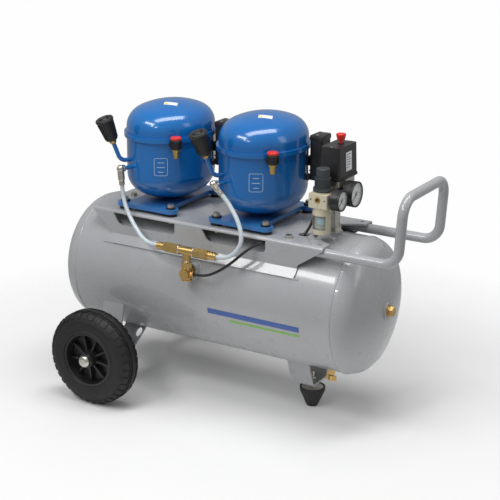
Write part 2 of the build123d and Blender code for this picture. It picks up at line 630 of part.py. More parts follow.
with BuildPart() as suspension_springs:
    spring_h = STATOR_Z0 - SPRING_Z
    with BuildLine(Plane.XY) as coil_line:
        Helix(pitch=spring_h / 4, height=spring_h - 2, radius=6)
    with BuildSketch(Plane(origin=coil_line.line @ 0, z_dir=coil_line.line % 0)) as wire:
        Circle(0.9)
    with BuildPart(mode=Mode.PRIVATE) as spring:
        sweep(wire.sketch, path=coil_line.line, is_frenet=True)
    with at_compressors():
        with GridLocations(76, 76, 2, 2):
            with Locations((0, 0, SPRING_Z + 1)):
                add(spring.part)
suspension_springs.part.label = "suspension_springs"

with BuildPart() as cylinder_blocks:
    with at_compressors():
        with Locations((10, 0, BLOCK_Z)):
            Box(110, 74, 10, align=(Align.CENTER, Align.CENTER, Align.MIN))
        with Locations((0, 0, BLOCK_Z)):
            Cylinder(16, BEARING_TOP - BLOCK_Z, align=(Align.CENTER, Align.CENTER, Align.MIN))
        with Locations((47, 0, BLOCK_Z)):
            Box(46, 44, BORE_Z + 20 - BLOCK_Z, align=(Align.CENTER, Align.CENTER, Align.MIN))
        with Locations((0, 0, BLOCK_Z)):
            Cylinder(SHAFT_R + RUN_GAP, 200, mode=Mode.SUBTRACT)
        with Locations((20, 0, BORE_Z)):
            Cylinder(PISTON_R + RUN_GAP, 44, rotation=(0, 90, 0),
                     align=(Align.CENTER, Align.CENTER, Align.MIN), mode=Mode.SUBTRACT)
        for corner_x, corner_y in ((-36, -32), (-36, 32), (56, -32), (56, 32)):
            with Locations((corner_x, corner_y, STATOR_Z1)):
                Cylinder(5, BLOCK_Z - STATOR_Z1, align=(Align.CENTER, Align.CENTER, Align.MIN))
cylinder_blocks.part.label = "cylinder_blocks"


def make_crankshaft(centre_x):
    """Rotor, shaft, counterweight and crank pin of one pump."""
    with BuildPart() as crankshaft:
        bar((centre_x, COMP_Y, 440), (centre_x, COMP_Y, WEB_Z1), SHAFT_R)
        bar((centre_x, COMP_Y, STATOR_Z0 + 1), (centre_x, COMP_Y, STATOR_Z1 - 1), ROTOR_R)
        bar((centre_x, COMP_Y, WEB_Z0), (centre_x, COMP_Y, WEB_Z1), 19)
        block((centre_x - 4, COMP_Y - 30, WEB_Z0), (centre_x + 40, COMP_Y + 30, WEB_Z1 + 1), Mode.SUBTRACT)
        bar((centre_x, COMP_Y, 440), (centre_x, COMP_Y, WEB_Z1), SHAFT_R)
        bar((centre_x, COMP_Y, WEB_Z0), (centre_x, COMP_Y, WEB_Z1), THROW + CRANK_PIN_R)
        bar((centre_x + THROW, COMP_Y, WEB_Z1), (centre_x + THROW, COMP_Y, BORE_Z + 8), CRANK_PIN_R)
    return crankshaft


def make_piston(centre_x):
    """Piston with the open end of its rod, clear of the crank pin's circle."""
    rod_x = centre_x + THROW + CRANK_PIN_R + THROW + 1
    with BuildPart() as piston:
        bar((centre_x + 35, COMP_Y, BORE_Z), (centre_x + 53, COMP_Y, BORE_Z), PISTON_R)
        block((rod_x, COMP_Y - 6, BORE_Z - 4), (centre_x + 36, COMP_Y + 6, BORE_Z + 4))
    return piston


crankshaft_left, crankshaft_right = make_crankshaft(COMP_X[0]), make_crankshaft(COMP_X[1])
piston_left, piston_right = make_piston(COMP_X[0]), make_piston(COMP_X[1])
crankshaft_left.part.label, crankshaft_right.part.label = "crankshaft_left", "crankshaft_right"
piston_left.part.label, piston_right.part.label = "piston_left", "piston_right"

# ---------------------------------------------------------------- discharge elbows, tee and hoses
with BuildPart() as discharge_elbows:
    for side, route in ((0, HOSE_LEFT_ROUTE), (1, HOSE_RIGHT_ROUTE)):
        elbow = shell_point(side, DISCHARGE_ANGLE, DISCHARGE_Z, STUB_OUT)
        with Locations(elbow):
            Sphere(8.5)
        bar(shell_point(side, DISCHARGE_ANGLE, DISCHARGE_Z, STUB_OUT - 10), elbow, 7.5)
        hose_end = Vector(*route[0])
        neck = hose_end + (hose_end - Vector(*route[1])).normalized() * SLEEVE
        bar(elbow, neck, 7.5)
        with Locations(neck):
            Sphere(7.5)
        bar(neck, hose_end, 6.3)
    for side in (0, 1):
        bar(shell_point(side, DISCHARGE_ANGLE, DISCHARGE_Z, 0),
            shell_point(side, DISCHARGE_ANGLE, DISCHARGE_Z, STUB_OUT - 6), PIPE_R, mode=Mode.SUBTRACT)
discharge_elbows.part.label = "discharge_elbows"


def make_hose(points, radius):
    """Hose along its route, with the largest bends its runs allow."""
    with BuildPart() as hose:
        pipe_along(points, radius, cord_radii(points))
    return hose


hose_left, hose_right = make_hose(HOSE_LEFT_ROUTE, HOSE_R), make_hose(HOSE_RIGHT_ROUTE, HOSE_R)
unloader_tube = make_hose(UNLOADER_ROUTE, UNLOADER_R)
hose_left.part.label, hose_right.part.label = "hose_left", "hose_right"
unloader_tube.part.label = "unloader_tube"

TEE_BODY = 20.0
with BuildPart() as tee:
    bar((VALVE_X - TEE_BODY, VALVE_Y, TEE_Z), (VALVE_X + TEE_BODY, VALVE_Y, TEE_Z), 9.5)
    bar((VALVE_X, VALVE_Y, TEE_Z - 24), (VALVE_X, VALVE_Y, TEE_Z), 9)
tee.part.label = "tee"

with BuildPart() as check_valves:
    for side in (-1, 1):
        inner, middle, outer = (VALVE_X + side * d for d in (TEE_BODY, 54, TEE_HALF))
        hex_bar((inner, VALVE_Y, TEE_Z), (middle, VALVE_Y, TEE_Z), 20)
        bar((middle, VALVE_Y, TEE_Z), (outer, VALVE_Y, TEE_Z), 8)
check_valves.part.label = "check_valves"

with BuildPart() as inlet_valve:
    bar((VALVE_X, -128, VALVE_Z), (VALVE_X, SOCKET_FRONT_Y, VALVE_Z), PORT_R)
    hex_bar((VALVE_X, SOCKET_FRONT_Y - 8, VALVE_Z), (VALVE_X, SOCKET_FRONT_Y, VALVE_Z), 24)
    bar((VALVE_X, VALVE_Y - 13, VALVE_Z), (VALVE_X, SOCKET_FRONT_Y - 2, VALVE_Z), 11.5)
    bar((VALVE_X, VALVE_Y, VALVE_Z - 16), (VALVE_X, VALVE_Y, VALVE_Z + 14), 10.5)
    hex_bar((VALVE_X, VALVE_Y, VALVE_Z + 14), (VALVE_X, VALVE_Y, TEE_Z - 24), 22)
    bar((VALVE_X, VALVE_Y, VALVE_Z), (UNLOADER_ROUTE[0][0], VALVE_Y, VALVE_Z), 5)
inlet_valve.part.label = "inlet_valve"

# ---------------------------------------------------------------- riser, manifold, safety valve
REG_REAR_Y = REG_Y + REG_R + 2

with BuildPart() as riser_pipe:
    bar((RISER_X, RISER_Y, 404), (RISER_X, RISER_Y, SADDLE_Z + 1), PORT_R)
    hex_bar((RISER_X, RISER_Y, SADDLE_Z + 1), (RISER_X, RISER_Y, SADDLE_Z + 11), 26)
    bar((RISER_X, RISER_Y, SADDLE_Z + 11), (RISER_X, RISER_Y, 482), 10.5)
riser_pipe.part.label = "riser_pipe"

with BuildPart() as manifold:
    bar((RISER_X, RISER_Y, 482), (RISER_X, RISER_Y, SWITCH_Z), MANIFOLD_R)
    bar((RISER_X, RISER_Y, PORT_Z), (RISER_X + 20, RISER_Y, PORT_Z), 10)
    bar((RISER_X, RISER_Y + 22, PORT_Z), (RISER_X, RISER_Y - 20, PORT_Z), 10)
    bar((RISER_X, RISER_Y - 20, PORT_Z), (RISER_X, REG_REAR_Y, PORT_Z), 8)
manifold.part.label = "manifold"

with BuildPart() as safety_valve:
    hex_bar((RISER_X, RISER_Y + 22, PORT_Z), (RISER_X, RISER_Y + 32, PORT_Z), 17)
    bar((RISER_X, RISER_Y + 32, PORT_Z), (RISER_X, RISER_Y + 52, PORT_Z), 7.5)
    hex_bar((RISER_X, RISER_Y + 52, PORT_Z), (RISER_X, RISER_Y + 58, PORT_Z), 12)
safety_valve.part.label = "safety_valve"

# ---------------------------------------------------------------- pressure switch
TAPER = 2.5
with BuildPart() as switch_base:
    with BuildSketch(Plane.XY.offset(SWITCH_Z)):
        with Locations((RISER_X, SWITCH_Y)):
            RectangleRounded(44, 78, 6)
    extrude(amount=COVER_Z - SWITCH_Z)
    release = UNLOADER_ROUTE[-1]
    block((release[0] - 6, release[1] - 6, release[2]), (RISER_X - 15, release[1] + 6, COVER_Z - 3))
switch_base.part.label = "switch_base"

with BuildPart() as switch_cover:
    for width, depth, rise, mode in ((50, 84, COVER_TOP_Z - COVER_Z, Mode.ADD),
                                     (44, 78, COVER_TOP_Z - COVER_Z - 3, Mode.SUBTRACT)):
        with BuildSketch(Plane.XY.offset(COVER_Z)) as outline:
            with Locations((RISER_X, SWITCH_Y)):
                RectangleRounded(width, depth, 5)
        extrude(outline.sketch, amount=rise, taper=TAPER, mode=mode)
    with BuildSketch(Plane.XY.offset(COVER_Z)):
        with Locations((RISER_X, SWITCH_Y)):
            RectangleRounded(53, 87, 6)
            RectangleRounded(46, 80, 4, mode=Mode.SUBTRACT)
    extrude(amount=5)
    bar((KNOB_X, KNOB_Y, COVER_TOP_Z), (KNOB_X, KNOB_Y, COVER_TOP_Z + 2), 7)
    bar((KNOB_X, KNOB_Y, COVER_TOP_Z - 8), (KNOB_X, KNOB_Y, COVER_TOP_Z + 4), 4.5 + RUN_GAP,
        mode=Mode.SUBTRACT)
switch_cover.part.label = "switch_cover"

with BuildPart() as switch_knob:
    cap_z = COVER_TOP_Z + 2 + KNOB_TRAVEL + 1
    bar((KNOB_X, KNOB_Y, COVER_TOP_Z - 14), (KNOB_X, KNOB_Y, cap_z), 4.5)
    with Locations((KNOB_X, KNOB_Y, cap_z)):
        Cone(8, 10.5, 9, align=(Align.CENTER, Align.CENTER, Align.MIN))
    with Locations((KNOB_X, KNOB_Y, cap_z + 9)):
        Cylinder(10.5, 4, align=(Align.CENTER, Align.CENTER, Align.MIN))
    fillet(switch_knob.edges().filter_by(GeomType.CIRCLE).group_by(Axis.Z)[-1], 2)
switch_knob.part.label = "switch_knob"

# ---------------------------------------------------------------- gauges
GAUGES = ((RISER_Y, GAUGE_X, GAUGE_R, 22, RISER_X + 20),
          (REG_Y, SMALL_GAUGE_X, SMALL_GAUGE_R, 21, RISER_X + 22))
DIAL_DEPTH = 4.0
GLASS = 1.2
PIN_R = 1.0

with BuildPart() as gauge_cases:
    for y, face_x, radius, depth, port_x in GAUGES:
        bar((face_x - depth, y, PORT_Z), (face_x, y, PORT_Z), radius)
        bar((face_x - DIAL_DEPTH, y, PORT_Z), (face_x, y, PORT_Z), radius - 2, mode=Mode.SUBTRACT)
        bar((face_x - DIAL_DEPTH, y, PORT_Z), (face_x - GLASS - 0.4, y, PORT_Z), PIN_R)
        hex_bar((port_x, y, PORT_Z), (face_x - depth, y, PORT_Z), 12)
gauge_cases.part.label = "gauge_cases"

with BuildPart() as gauge_glasses:
    for y, face_x, radius, depth, port_x in GAUGES:
        bar((face_x - GLASS, y, PORT_Z), (face_x, y, PORT_Z), radius - 2)
gauge_glasses.part.label = "gauge_glasses"


def make_needle(y, face_x, radius):
    """Gauge needle, resting at the zero mark at the lower left of its dial."""
    needle_x = face_x - DIAL_DEPTH + 1
    with BuildPart() as needle:
        with BuildSketch(Plane(origin=(needle_x, y, PORT_Z), x_dir=(0, 1, 0), z_dir=(1, 0, 0))):
            Polygon((-1.6, 7), (-0.3, -radius + 7), (0.3, -radius + 7), (1.6, 7), align=None)
            Circle(2.6)
            Circle(PIN_R + RUN_GAP, mode=Mode.SUBTRACT)
        extrude(amount=0.8)
    needle.part = needle.part.rotate(Axis((needle_x, y, PORT_Z), (1, 0, 0)), -45)
    return needle


needle_large = make_needle(RISER_Y, GAUGE_X, GAUGE_R)
needle_small = make_needle(REG_Y, SMALL_GAUGE_X, SMALL_GAUGE_R)
needle_large.part.label, needle_small.part.label = "needle_large", "needle_small"

# ---------------------------------------------------------------- filter regulator
BOSS_Y = REG_R + 2
SCREW_R = 5.0
with BuildPart() as regulator_body:
    bar((RISER_X, REG_Y, REG_Z0), (RISER_X, REG_Y, REG_Z1), REG_R)
    block((RISER_X - 22, REG_Y - BOSS_Y, PORT_Z - 18), (RISER_X + 22, REG_Y + BOSS_Y, PORT_Z + 12))
    fillet(regulator_body.edges().filter_by(Axis.Z).filter_by(lambda e: abs(e.center().X - RISER_X) > 21), 3)
    bar((RISER_X, REG_Y - BOSS_Y - 1, PORT_Z), (RISER_X, REG_Y - 6, PORT_Z), PORT_R, mode=Mode.SUBTRACT)
    bar((RISER_X, REG_Y, REG_Z1 - 26), (RISER_X, REG_Y, REG_Z1), SCREW_R + RUN_GAP, mode=Mode.SUBTRACT)
    for dx in (-16, 16):
        bar((RISER_X + dx, REG_Y - BOSS_Y - 1, PORT_Z), (RISER_X + dx, REG_Y - BOSS_Y + 8, PORT_Z), 2,
            mode=Mode.SUBTRACT)
regulator_body.part.label = "regulator_body"

with BuildPart() as adjusting_screw:
    bar((RISER_X, REG_Y, REG_Z1 - 20), (RISER_X, REG_Y, REG_Z1 + 30), SCREW_R)
adjusting_screw.part.label = "adjusting_screw"

with BuildPart() as regulator_knob:
    bar((RISER_X, REG_Y, REG_Z1 + END_GAP), (RISER_X, REG_Y, REG_Z1 + 8), 19.8)
    bar((RISER_X, REG_Y, REG_Z1 + 8), (RISER_X, REG_Y, REG_Z1 + 29), 16.4)
    bar((RISER_X, REG_Y, REG_Z1 + 29), (RISER_X, REG_Y, REG_Z1 + 49), 14.3)
    chamfer(regulator_knob.edges().filter_by(GeomType.CIRCLE).group_by(Axis.Z)[-1], 1.2)
    bar((RISER_X, REG_Y, REG_Z1), (RISER_X, REG_Y, REG_Z1 + 36), SCREW_R + RUN_GAP, mode=Mode.SUBTRACT)
regulator_knob.part.label = "regulator_knob"

with BuildPart() as filter_bowl:
    with BuildSketch(Plane(origin=(RISER_X, REG_Y, 0), x_dir=(1, 0, 0), z_dir=(0, -1, 0))):
        with BuildLine():
            FilletPolyline((0, BOWL_Z + 5), (16.5, BOWL_Z + 5), (16.5, REG_Z0), radius=9)
            FilletPolyline((0, BOWL_Z + 7), (14.5, BOWL_Z + 7), (14.5, REG_Z0), radius=7)
            Line((16.5, REG_Z0), (14.5, REG_Z0))
            Line((0, BOWL_Z + 5), (0, BOWL_Z + 7))
        make_face()
    revolve(axis=Axis((RISER_X, REG_Y, 0), (0, 0, 1)))
    bar((RISER_X, REG_Y, BOWL_Z - 4), (RISER_X, REG_Y, BOWL_Z + 6), 4)
filter_bowl.part.label = "filter_bowl"

with BuildPart() as bowl_guard:
    bar((RISER_X, REG_Y, BOWL_Z), (RISER_X, REG_Y, REG_Z0), 19.2, 17.2)
    bar((RISER_X, REG_Y, BOWL_Z), (RISER_X, REG_Y, BOWL_Z + 3), 18, 6)
    block((RISER_X - 15, REG_Y - 30, BOWL_Z + 10), (RISER_X + 15, REG_Y + 30, REG_Z0 - 1), Mode.SUBTRACT)
bowl_guard.part.label = "bowl_guard"

with BuildPart() as filter_element:
    bar((RISER_X, REG_Y, REG_Z0 - 27), (RISER_X, REG_Y, REG_Z0 - 12), 10)
    bar((RISER_X, REG_Y, REG_Z0 - 12), (RISER_X, REG_Y, REG_Z0), 7)
filter_element.part.label = "filter_element"

# ---------------------------------------------------------------- write every piece
pieces = [tank_shell, tank_heads, tank_sockets, end_plug, drain_body, drain_screw, saddle, handle,
          wheel_brackets, stub_axles, hub_caps, rim_front, rim_rear, tyre_front, tyre_rear,
          foot_bracket, foot_rubber, base_plates, grommets, fasteners, *shells.values(),
          start_boxes, shell_pipes, shell_fittings, suction_filters, oil_collars, oil_caps,
          stators, suspension_springs, cylinder_blocks, crankshaft_left, crankshaft_right,
          piston_left, piston_right, discharge_elbows, hose_left, hose_right, tee, check_valves,
          inlet_valve, unloader_tube, riser_pipe, manifold, safety_valve, switch_base, switch_cover,
          switch_knob, gauge_cases, gauge_glasses, needle_large, needle_small, regulator_body,
          adjusting_screw, regulator_knob, filter_bowl, bowl_guard, filter_element]

os.makedirs("parts", exist_ok=True)
for piece in pieces:
    export_step(piece.part, f"parts/{piece.part.label}.step")

report_hose(hose_left, HOSE_LEFT_ROUTE, HOSE_R)
report_hose(hose_right, HOSE_RIGHT_ROUTE, HOSE_R)
report_hose(unloader_tube, UNLOADER_ROUTE, UNLOADER_R)
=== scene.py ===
import json
from math import atan2, cos, pi, radians, sin

import bpy
from mathutils import Matrix, Vector


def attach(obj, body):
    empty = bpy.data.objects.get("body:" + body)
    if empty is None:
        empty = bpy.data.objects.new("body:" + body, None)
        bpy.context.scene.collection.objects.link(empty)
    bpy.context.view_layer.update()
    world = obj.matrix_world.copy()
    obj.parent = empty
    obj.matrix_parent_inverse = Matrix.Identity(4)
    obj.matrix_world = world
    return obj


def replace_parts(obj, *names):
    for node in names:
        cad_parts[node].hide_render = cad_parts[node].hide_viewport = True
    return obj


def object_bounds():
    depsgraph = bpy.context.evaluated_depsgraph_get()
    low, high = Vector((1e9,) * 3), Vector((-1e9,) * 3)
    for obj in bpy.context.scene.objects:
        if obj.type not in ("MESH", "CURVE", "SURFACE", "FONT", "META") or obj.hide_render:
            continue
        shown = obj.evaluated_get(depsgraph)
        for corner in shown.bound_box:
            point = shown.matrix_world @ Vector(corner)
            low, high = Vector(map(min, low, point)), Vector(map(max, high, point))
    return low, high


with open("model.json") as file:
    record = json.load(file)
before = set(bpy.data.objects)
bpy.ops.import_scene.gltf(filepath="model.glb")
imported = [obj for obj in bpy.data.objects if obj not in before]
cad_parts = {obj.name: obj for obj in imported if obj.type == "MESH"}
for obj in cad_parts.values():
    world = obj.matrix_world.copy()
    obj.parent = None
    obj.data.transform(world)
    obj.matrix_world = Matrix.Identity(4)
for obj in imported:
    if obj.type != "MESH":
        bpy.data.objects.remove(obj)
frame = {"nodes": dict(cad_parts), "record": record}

# Looks of the twin-motor air compressor, in metres, +X towards the handle, -Y the working side.
cad_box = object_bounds()
nodes = frame["nodes"]


# ---------------------------------------------------------------- camera, floor and light
CAMERA_PLACE = Vector((1.4868, -2.5028, 1.2890))
CAMERA_TARGET = Vector((0.00777, 0.0, 0.33488))
CAMERA_ROLL = radians(0.53)
CAMERA_LENS, CAMERA_SENSOR = 99.11, 36.0
ROOM_LEVEL, BACKDROP_LEVEL = 0.34, 0.99
LIGHTS = (
    # name, place, target, size, power
    ("key_box", (-0.9, -1.9, 2.6), (0.0, 0.0, 0.4), (1.5, 0.5), 28),
    ("top_box", (0.3, -0.2, 2.6), (0.0, 0.0, 0.3), (2.2, 0.7), 36),
    ("side_box", (2.6, 0.4, 1.5), (0.1, 0.0, 0.4), (0.7, 1.4), 5),
    ("dome_spot_a", (-0.35, -2.3, 2.2), (0.0, 0.0, 0.6), (0.16, 0.16), 4),
    ("dome_spot_b", (0.25, -2.4, 2.0), (0.0, 0.0, 0.6), (0.22, 0.1), 4),
)


def aim(place, target, roll=0.0):
    """Matrix of a camera or light at place that looks at target."""
    turn = (target - place).to_track_quat("-Z", "Y").to_matrix().to_4x4()
    return Matrix.Translation(place) @ turn @ Matrix.Rotation(roll, 4, "Z")


def make_camera():
    """Long lens, a little rolled, on the working side above the handle."""
    lens = bpy.data.cameras.new("camera")
    lens.lens = CAMERA_LENS
    lens.sensor_width = CAMERA_SENSOR
    camera = bpy.data.objects.new("camera", lens)
    bpy.context.scene.collection.objects.link(camera)
    camera.matrix_world = aim(CAMERA_PLACE, CAMERA_TARGET, CAMERA_ROLL)
    bpy.context.scene.camera = camera


def make_light(name, place, target, size, power):
    """One soft rectangular studio light."""
    lamp = bpy.data.lights.new(name, "AREA")
    lamp.shape = "RECTANGLE"
    lamp.size, lamp.size_y = size
    lamp.energy = power
    light = bpy.data.objects.new(name, lamp)
    bpy.context.scene.collection.objects.link(light)
    light.matrix_world = aim(Vector(place), Vector(target))


def make_studio():
    """White backdrop over a dimmer room, soft boxes over and beside the object."""
    world = bpy.data.worlds.new("studio")
    world.use_nodes = True
    tree = world.node_tree
    backdrop = tree.nodes["Background"]
    backdrop.inputs["Color"].default_value = (1.0, 1.0, 1.0, 1.0)
    seen = tree.nodes.new("ShaderNodeLightPath")
    level = tree.nodes.new("ShaderNodeMapRange")
    level.inputs["To Min"].default_value = ROOM_LEVEL
    level.inputs["To Max"].default_value = BACKDROP_LEVEL
    tree.links.new(seen.outputs["Is Camera Ray"], level.inputs["Value"])
    tree.links.new(level.outputs["Result"], backdrop.inputs["Strength"])
    bpy.context.scene.world = world
    bpy.context.scene.view_settings.view_transform = "Standard"
    for light in LIGHTS:
        make_light(*light)


make_camera()
make_studio()


# ---------------------------------------------------------------- shader sums and materials
class Wire:
    """A shader socket; sums with it add Math nodes."""

    def __init__(self, finish, socket):
        self.finish, self.socket = finish, socket

    def sum(self, operation, left, right):
        """Adds a Math node and returns its result."""
        return self.finish.node("ShaderNodeMath", {0: left, 1: right}, operation=operation)

    def __add__(self, other):
        return self.sum("ADD", self, other)

    def __radd__(self, other):
        return self.sum("ADD", other, self)

    def __sub__(self, other):
        return self.sum("SUBTRACT", self, other)

    def __rsub__(self, other):
        return self.sum("SUBTRACT", other, self)

    def __mul__(self, other):
        return self.sum("MULTIPLY", self, other)

    def __rmul__(self, other):
        return self.sum("MULTIPLY", other, self)


class Finish:
    """One procedural material."""

    def __init__(self, name, **sockets):
        self.material = bpy.data.materials.new(name)
        self.material.use_nodes = True
        self.tree = self.material.node_tree
        self.surface = self.tree.nodes["Principled BSDF"]
        for socket, value in sockets.items():
            self.set(socket.replace("_", " "), value)

    def set(self, socket, value):
        """Sets or links one socket of the surface shader."""
        self.plug(self.surface.inputs[socket], value)

    def plug(self, socket, value):
        """Links a wire to a socket, or sets the socket to a value."""
        if isinstance(value, Wire):
            self.tree.links.new(value.socket, socket)
        elif isinstance(value, tuple) and len(value) == 3 and socket.type == "RGBA":
            socket.default_value = (*value, 1.0)
        else:
            socket.default_value = value

    def node(self, kind, sockets=None, out=0, **settings):
        """Adds a node of any kind and returns one of its outputs."""
        made = self.tree.nodes.new(kind)
        for setting, value in settings.items():
            setattr(made, setting, value)
        for key, value in (sockets or {}).items():
            self.plug(made.inputs[key], value)
        return Wire(self, made.outputs[out])

    def place(self, scale=(1.0, 1.0, 1.0)):
        """Object coordinates, stretched by scale."""
        spot = self.node("ShaderNodeTexCoord", out="Object")
        return self.node("ShaderNodeMapping", {"Vector": spot, "Scale": scale})

    def noise(self, scale, detail=4.0, stretch=(1.0, 1.0, 1.0)):
        """Cloudy noise from 0 to 1 in object coordinates."""
        return self.node("ShaderNodeTexNoise", {"Vector": self.place(stretch), "Scale": scale,
                                                "Detail": detail, "Roughness": 0.55}, out="Fac")

    def blend(self, amount, dark, light):
        """Colour between dark and light."""
        return self.node("ShaderNodeMix", {0: amount, 6: dark, 7: light}, out=2, data_type="RGBA")

    def relief(self, height, strength, distance):
        """Bumps the surface by a height wire."""
        self.set("Normal", self.node("ShaderNodeBump", {"Height": height, "Strength": strength,
                                                        "Distance": distance}))

    def spread(self, value, low, high):
        """Value stretched from low..high to 0..1."""
        return self.node("ShaderNodeMapRange", {"Value": value, 1: low, 2: high, 3: 0.0, 4: 1.0})


def paint(name, colour, shade, roughness=0.24, coat=0.6, peel=0.10, dust=None):
    """Gloss paint with orange peel, slow colour drift and fine dust specks."""
    finish = Finish(name, Coat_Roughness=0.05, Specular_IOR_Level=0.5)
    drift = finish.spread(finish.noise(5.0, 3.0), 0.35, 0.65)
    speck = finish.spread(finish.noise(900.0, 2.0), 0.68, 0.74)
    base = finish.blend(drift, shade, colour)
    if dust:
        base = finish.blend(speck * 0.5, base, dust)
    finish.set("Base Color", base)
    finish.set("Roughness", roughness + 0.08 * finish.noise(30.0, 5.0) + 0.2 * speck)
    finish.set("Coat Weight", coat - 0.25 * speck)
    finish.relief(finish.noise(260.0, 3.0), peel, 0.0004)
    return finish.material


def metal(name, colour, tarnish, roughness, grain=(1.0, 1.0, 1.0), rub=0.5):
    """Bare or plated metal with tarnish in blotches and fine tool marks."""
    finish = Finish(name, Metallic=1.0)
    blotch = finish.spread(finish.noise(38.0, 6.0), 0.42, 0.72)
    marks = finish.noise(420.0, 3.0, grain)
    finish.set("Base Color", finish.blend(blotch * rub, colour, tarnish))
    finish.set("Roughness", roughness + 0.22 * blotch * rub + 0.10 * marks)
    finish.relief(marks, 0.12, 0.0003)
    return finish.material


def plastic(name, colour, light, roughness, grain_scale=900.0, grain=0.25, coat=0.0):
    """Moulded plastic or rubber with a spark-eroded grain and handling marks."""
    finish = Finish(name, Coat_Roughness=0.1)
    smear = finish.spread(finish.noise(26.0, 5.0), 0.38, 0.7)
    finish.set("Base Color", finish.blend(smear * 0.6, colour, light))
    finish.set("Roughness", roughness + 0.14 * smear)
    finish.set("Coat Weight", coat)
    finish.relief(finish.noise(grain_scale, 2.0), grain, 0.0003)
    return finish.material


def tyre_black():
    """Tyre rubber with dust in blotches."""
    finish = Finish("tyre_rubber")
    dust = finish.spread(finish.noise(60.0, 6.0), 0.40, 0.75)
    finish.set("Base Color", finish.blend(dust * 0.6, (0.006, 0.006, 0.006), (0.022, 0.021, 0.021)))
    finish.set("Roughness", 0.55 + 0.25 * dust)
    finish.relief(finish.noise(700.0, 3.0), 0.35, 0.0004)
    return finish.material


def clear(name, tint, roughness=0.03, alpha=0.25):
    """Thin clear plastic or glass."""
    finish = Finish(name, IOR=1.45, Specular_IOR_Level=0.6)
    haze = finish.noise(50.0, 4.0)
    finish.set("Base Color", tint)
    finish.set("Roughness", roughness + 0.06 * haze)
    finish.set("Alpha", alpha + 0.06 * haze)
    return finish.material


def milky():
    """Translucent nylon hose: smooth with a faint cloud."""
    finish = Finish("hose_milky", Subsurface_Weight=0.3, Subsurface_Scale=0.004, Coat_Roughness=0.12)
    cloud = finish.noise(90.0, 4.0)
    finish.set("Base Color", finish.blend(finish.spread(cloud, 0.35, 0.65),
                                          (0.50, 0.56, 0.60), (0.60, 0.66, 0.70)))
    finish.set("Roughness", 0.28 + 0.1 * cloud)
    finish.set("Coat Weight", 0.3)
    finish.relief(cloud, 0.05, 0.0003)
    return finish.material


looks = {
    "tank_paint": paint("tank_paint", (0.40, 0.41, 0.425), (0.37, 0.378, 0.39), dust=(0.52, 0.52, 0.52)),
    "shell_blue": paint("shell_blue", (0.006, 0.145, 0.45), (0.005, 0.125, 0.40), 0.16, 0.6, 0.05,
                        (0.15, 0.30, 0.55)),
    "base_blue": paint("base_blue", (0.035, 0.18, 0.47), (0.03, 0.15, 0.40), 0.3, 0.5, 0.1),
    "zinc": metal("zinc", (0.62, 0.60, 0.55), (0.38, 0.35, 0.29), 0.26),
    "brass": metal("brass", (0.66, 0.45, 0.17), (0.34, 0.22, 0.08), 0.24),
    "nickel": metal("nickel", (0.66, 0.62, 0.54), (0.42, 0.37, 0.28), 0.2),
    "black_plastic": plastic("black_plastic", (0.012, 0.012, 0.013), (0.028, 0.028, 0.030), 0.36),
    "switch_black": plastic("switch_black", (0.016, 0.016, 0.018), (0.035, 0.034, 0.036), 0.30, 1400.0, 0.2),
    "red_plastic": plastic("red_plastic", (0.72, 0.025, 0.018), (0.80, 0.05, 0.035), 0.28, 900.0, 0.08),
    "ivory_paint": paint("ivory_paint", (0.63, 0.58, 0.43), (0.58, 0.53, 0.39), 0.3, 0.3, 0.12),
    "knob_grey": plastic("knob_grey", (0.040, 0.048, 0.052), (0.075, 0.085, 0.090), 0.42),
    "bowl_clear": clear("bowl_clear", (0.80, 0.86, 0.84), alpha=0.22),
    "element": plastic("element", (0.16, 0.50, 0.62), (0.22, 0.58, 0.70), 0.55, 500.0, 0.5),
    "hose_milky": milky(),
    "black_rubber": plastic("black_rubber", (0.012, 0.012, 0.012), (0.030, 0.029, 0.028), 0.55, 600.0, 0.35),
    "tyre_rubber": tyre_black(),
    "cast_iron": metal("cast_iron", (0.20, 0.20, 0.20), (0.10, 0.09, 0.08), 0.5),
    "steel": metal("steel", (0.55, 0.55, 0.55), (0.35, 0.34, 0.33), 0.28, (1.0, 1.0, 8.0)),
    "gauge_glass": clear("gauge_glass", (0.95, 0.97, 0.97), alpha=0.10),
    "aluminium_parts": metal("aluminium_parts", (0.75, 0.75, 0.76), (0.5, 0.5, 0.5), 0.3),
    "dial_white": plastic("dial_white", (0.80, 0.80, 0.80), (0.86, 0.86, 0.86), 0.4, 900.0, 0.03),
    "dial_black": plastic("dial_black", (0.015, 0.015, 0.02), (0.03, 0.03, 0.03), 0.4, 900.0, 0.03),
    "label_white": plastic("label_white", (0.74, 0.76, 0.80), (0.82, 0.84, 0.87), 0.35, 900.0, 0.03),
    "label_grey": plastic("label_grey", (0.22, 0.24, 0.28), (0.30, 0.32, 0.36), 0.35, 900.0, 0.03),
    "label_yellow": plastic("label_yellow", (0.80, 0.62, 0.05), (0.85, 0.68, 0.10), 0.35, 900.0, 0.03),
    "print_pale": plastic("print_pale", (0.45, 0.58, 0.76), (0.52, 0.65, 0.82), 0.3, 900.0, 0.02),
    "stripe_blue": plastic("stripe_blue", (0.020, 0.085, 0.33), (0.03, 0.11, 0.38), 0.25, 900.0, 0.02, 0.4),
    "stripe_green": plastic("stripe_green", (0.18, 0.46, 0.05), (0.22, 0.52, 0.08), 0.25, 900.0, 0.02, 0.4),
    "tube_black": plastic("tube_black", (0.010, 0.010, 0.011), (0.02, 0.02, 0.02), 0.25, 900.0, 0.05),
}


def dress_cad_nodes():
    """Every carried-over node gets the finish that the record names."""
    for entry in frame["record"]["subparts"]:
        node = nodes[entry["node"]]
        node.data.materials.clear()
        node.data.materials.append(looks[entry["material_slot"]])


dress_cad_nodes()


# ---------------------------------------------------------------- modelling helpers
slot_names = {material["slot"] for material in frame["record"]["materials"]}


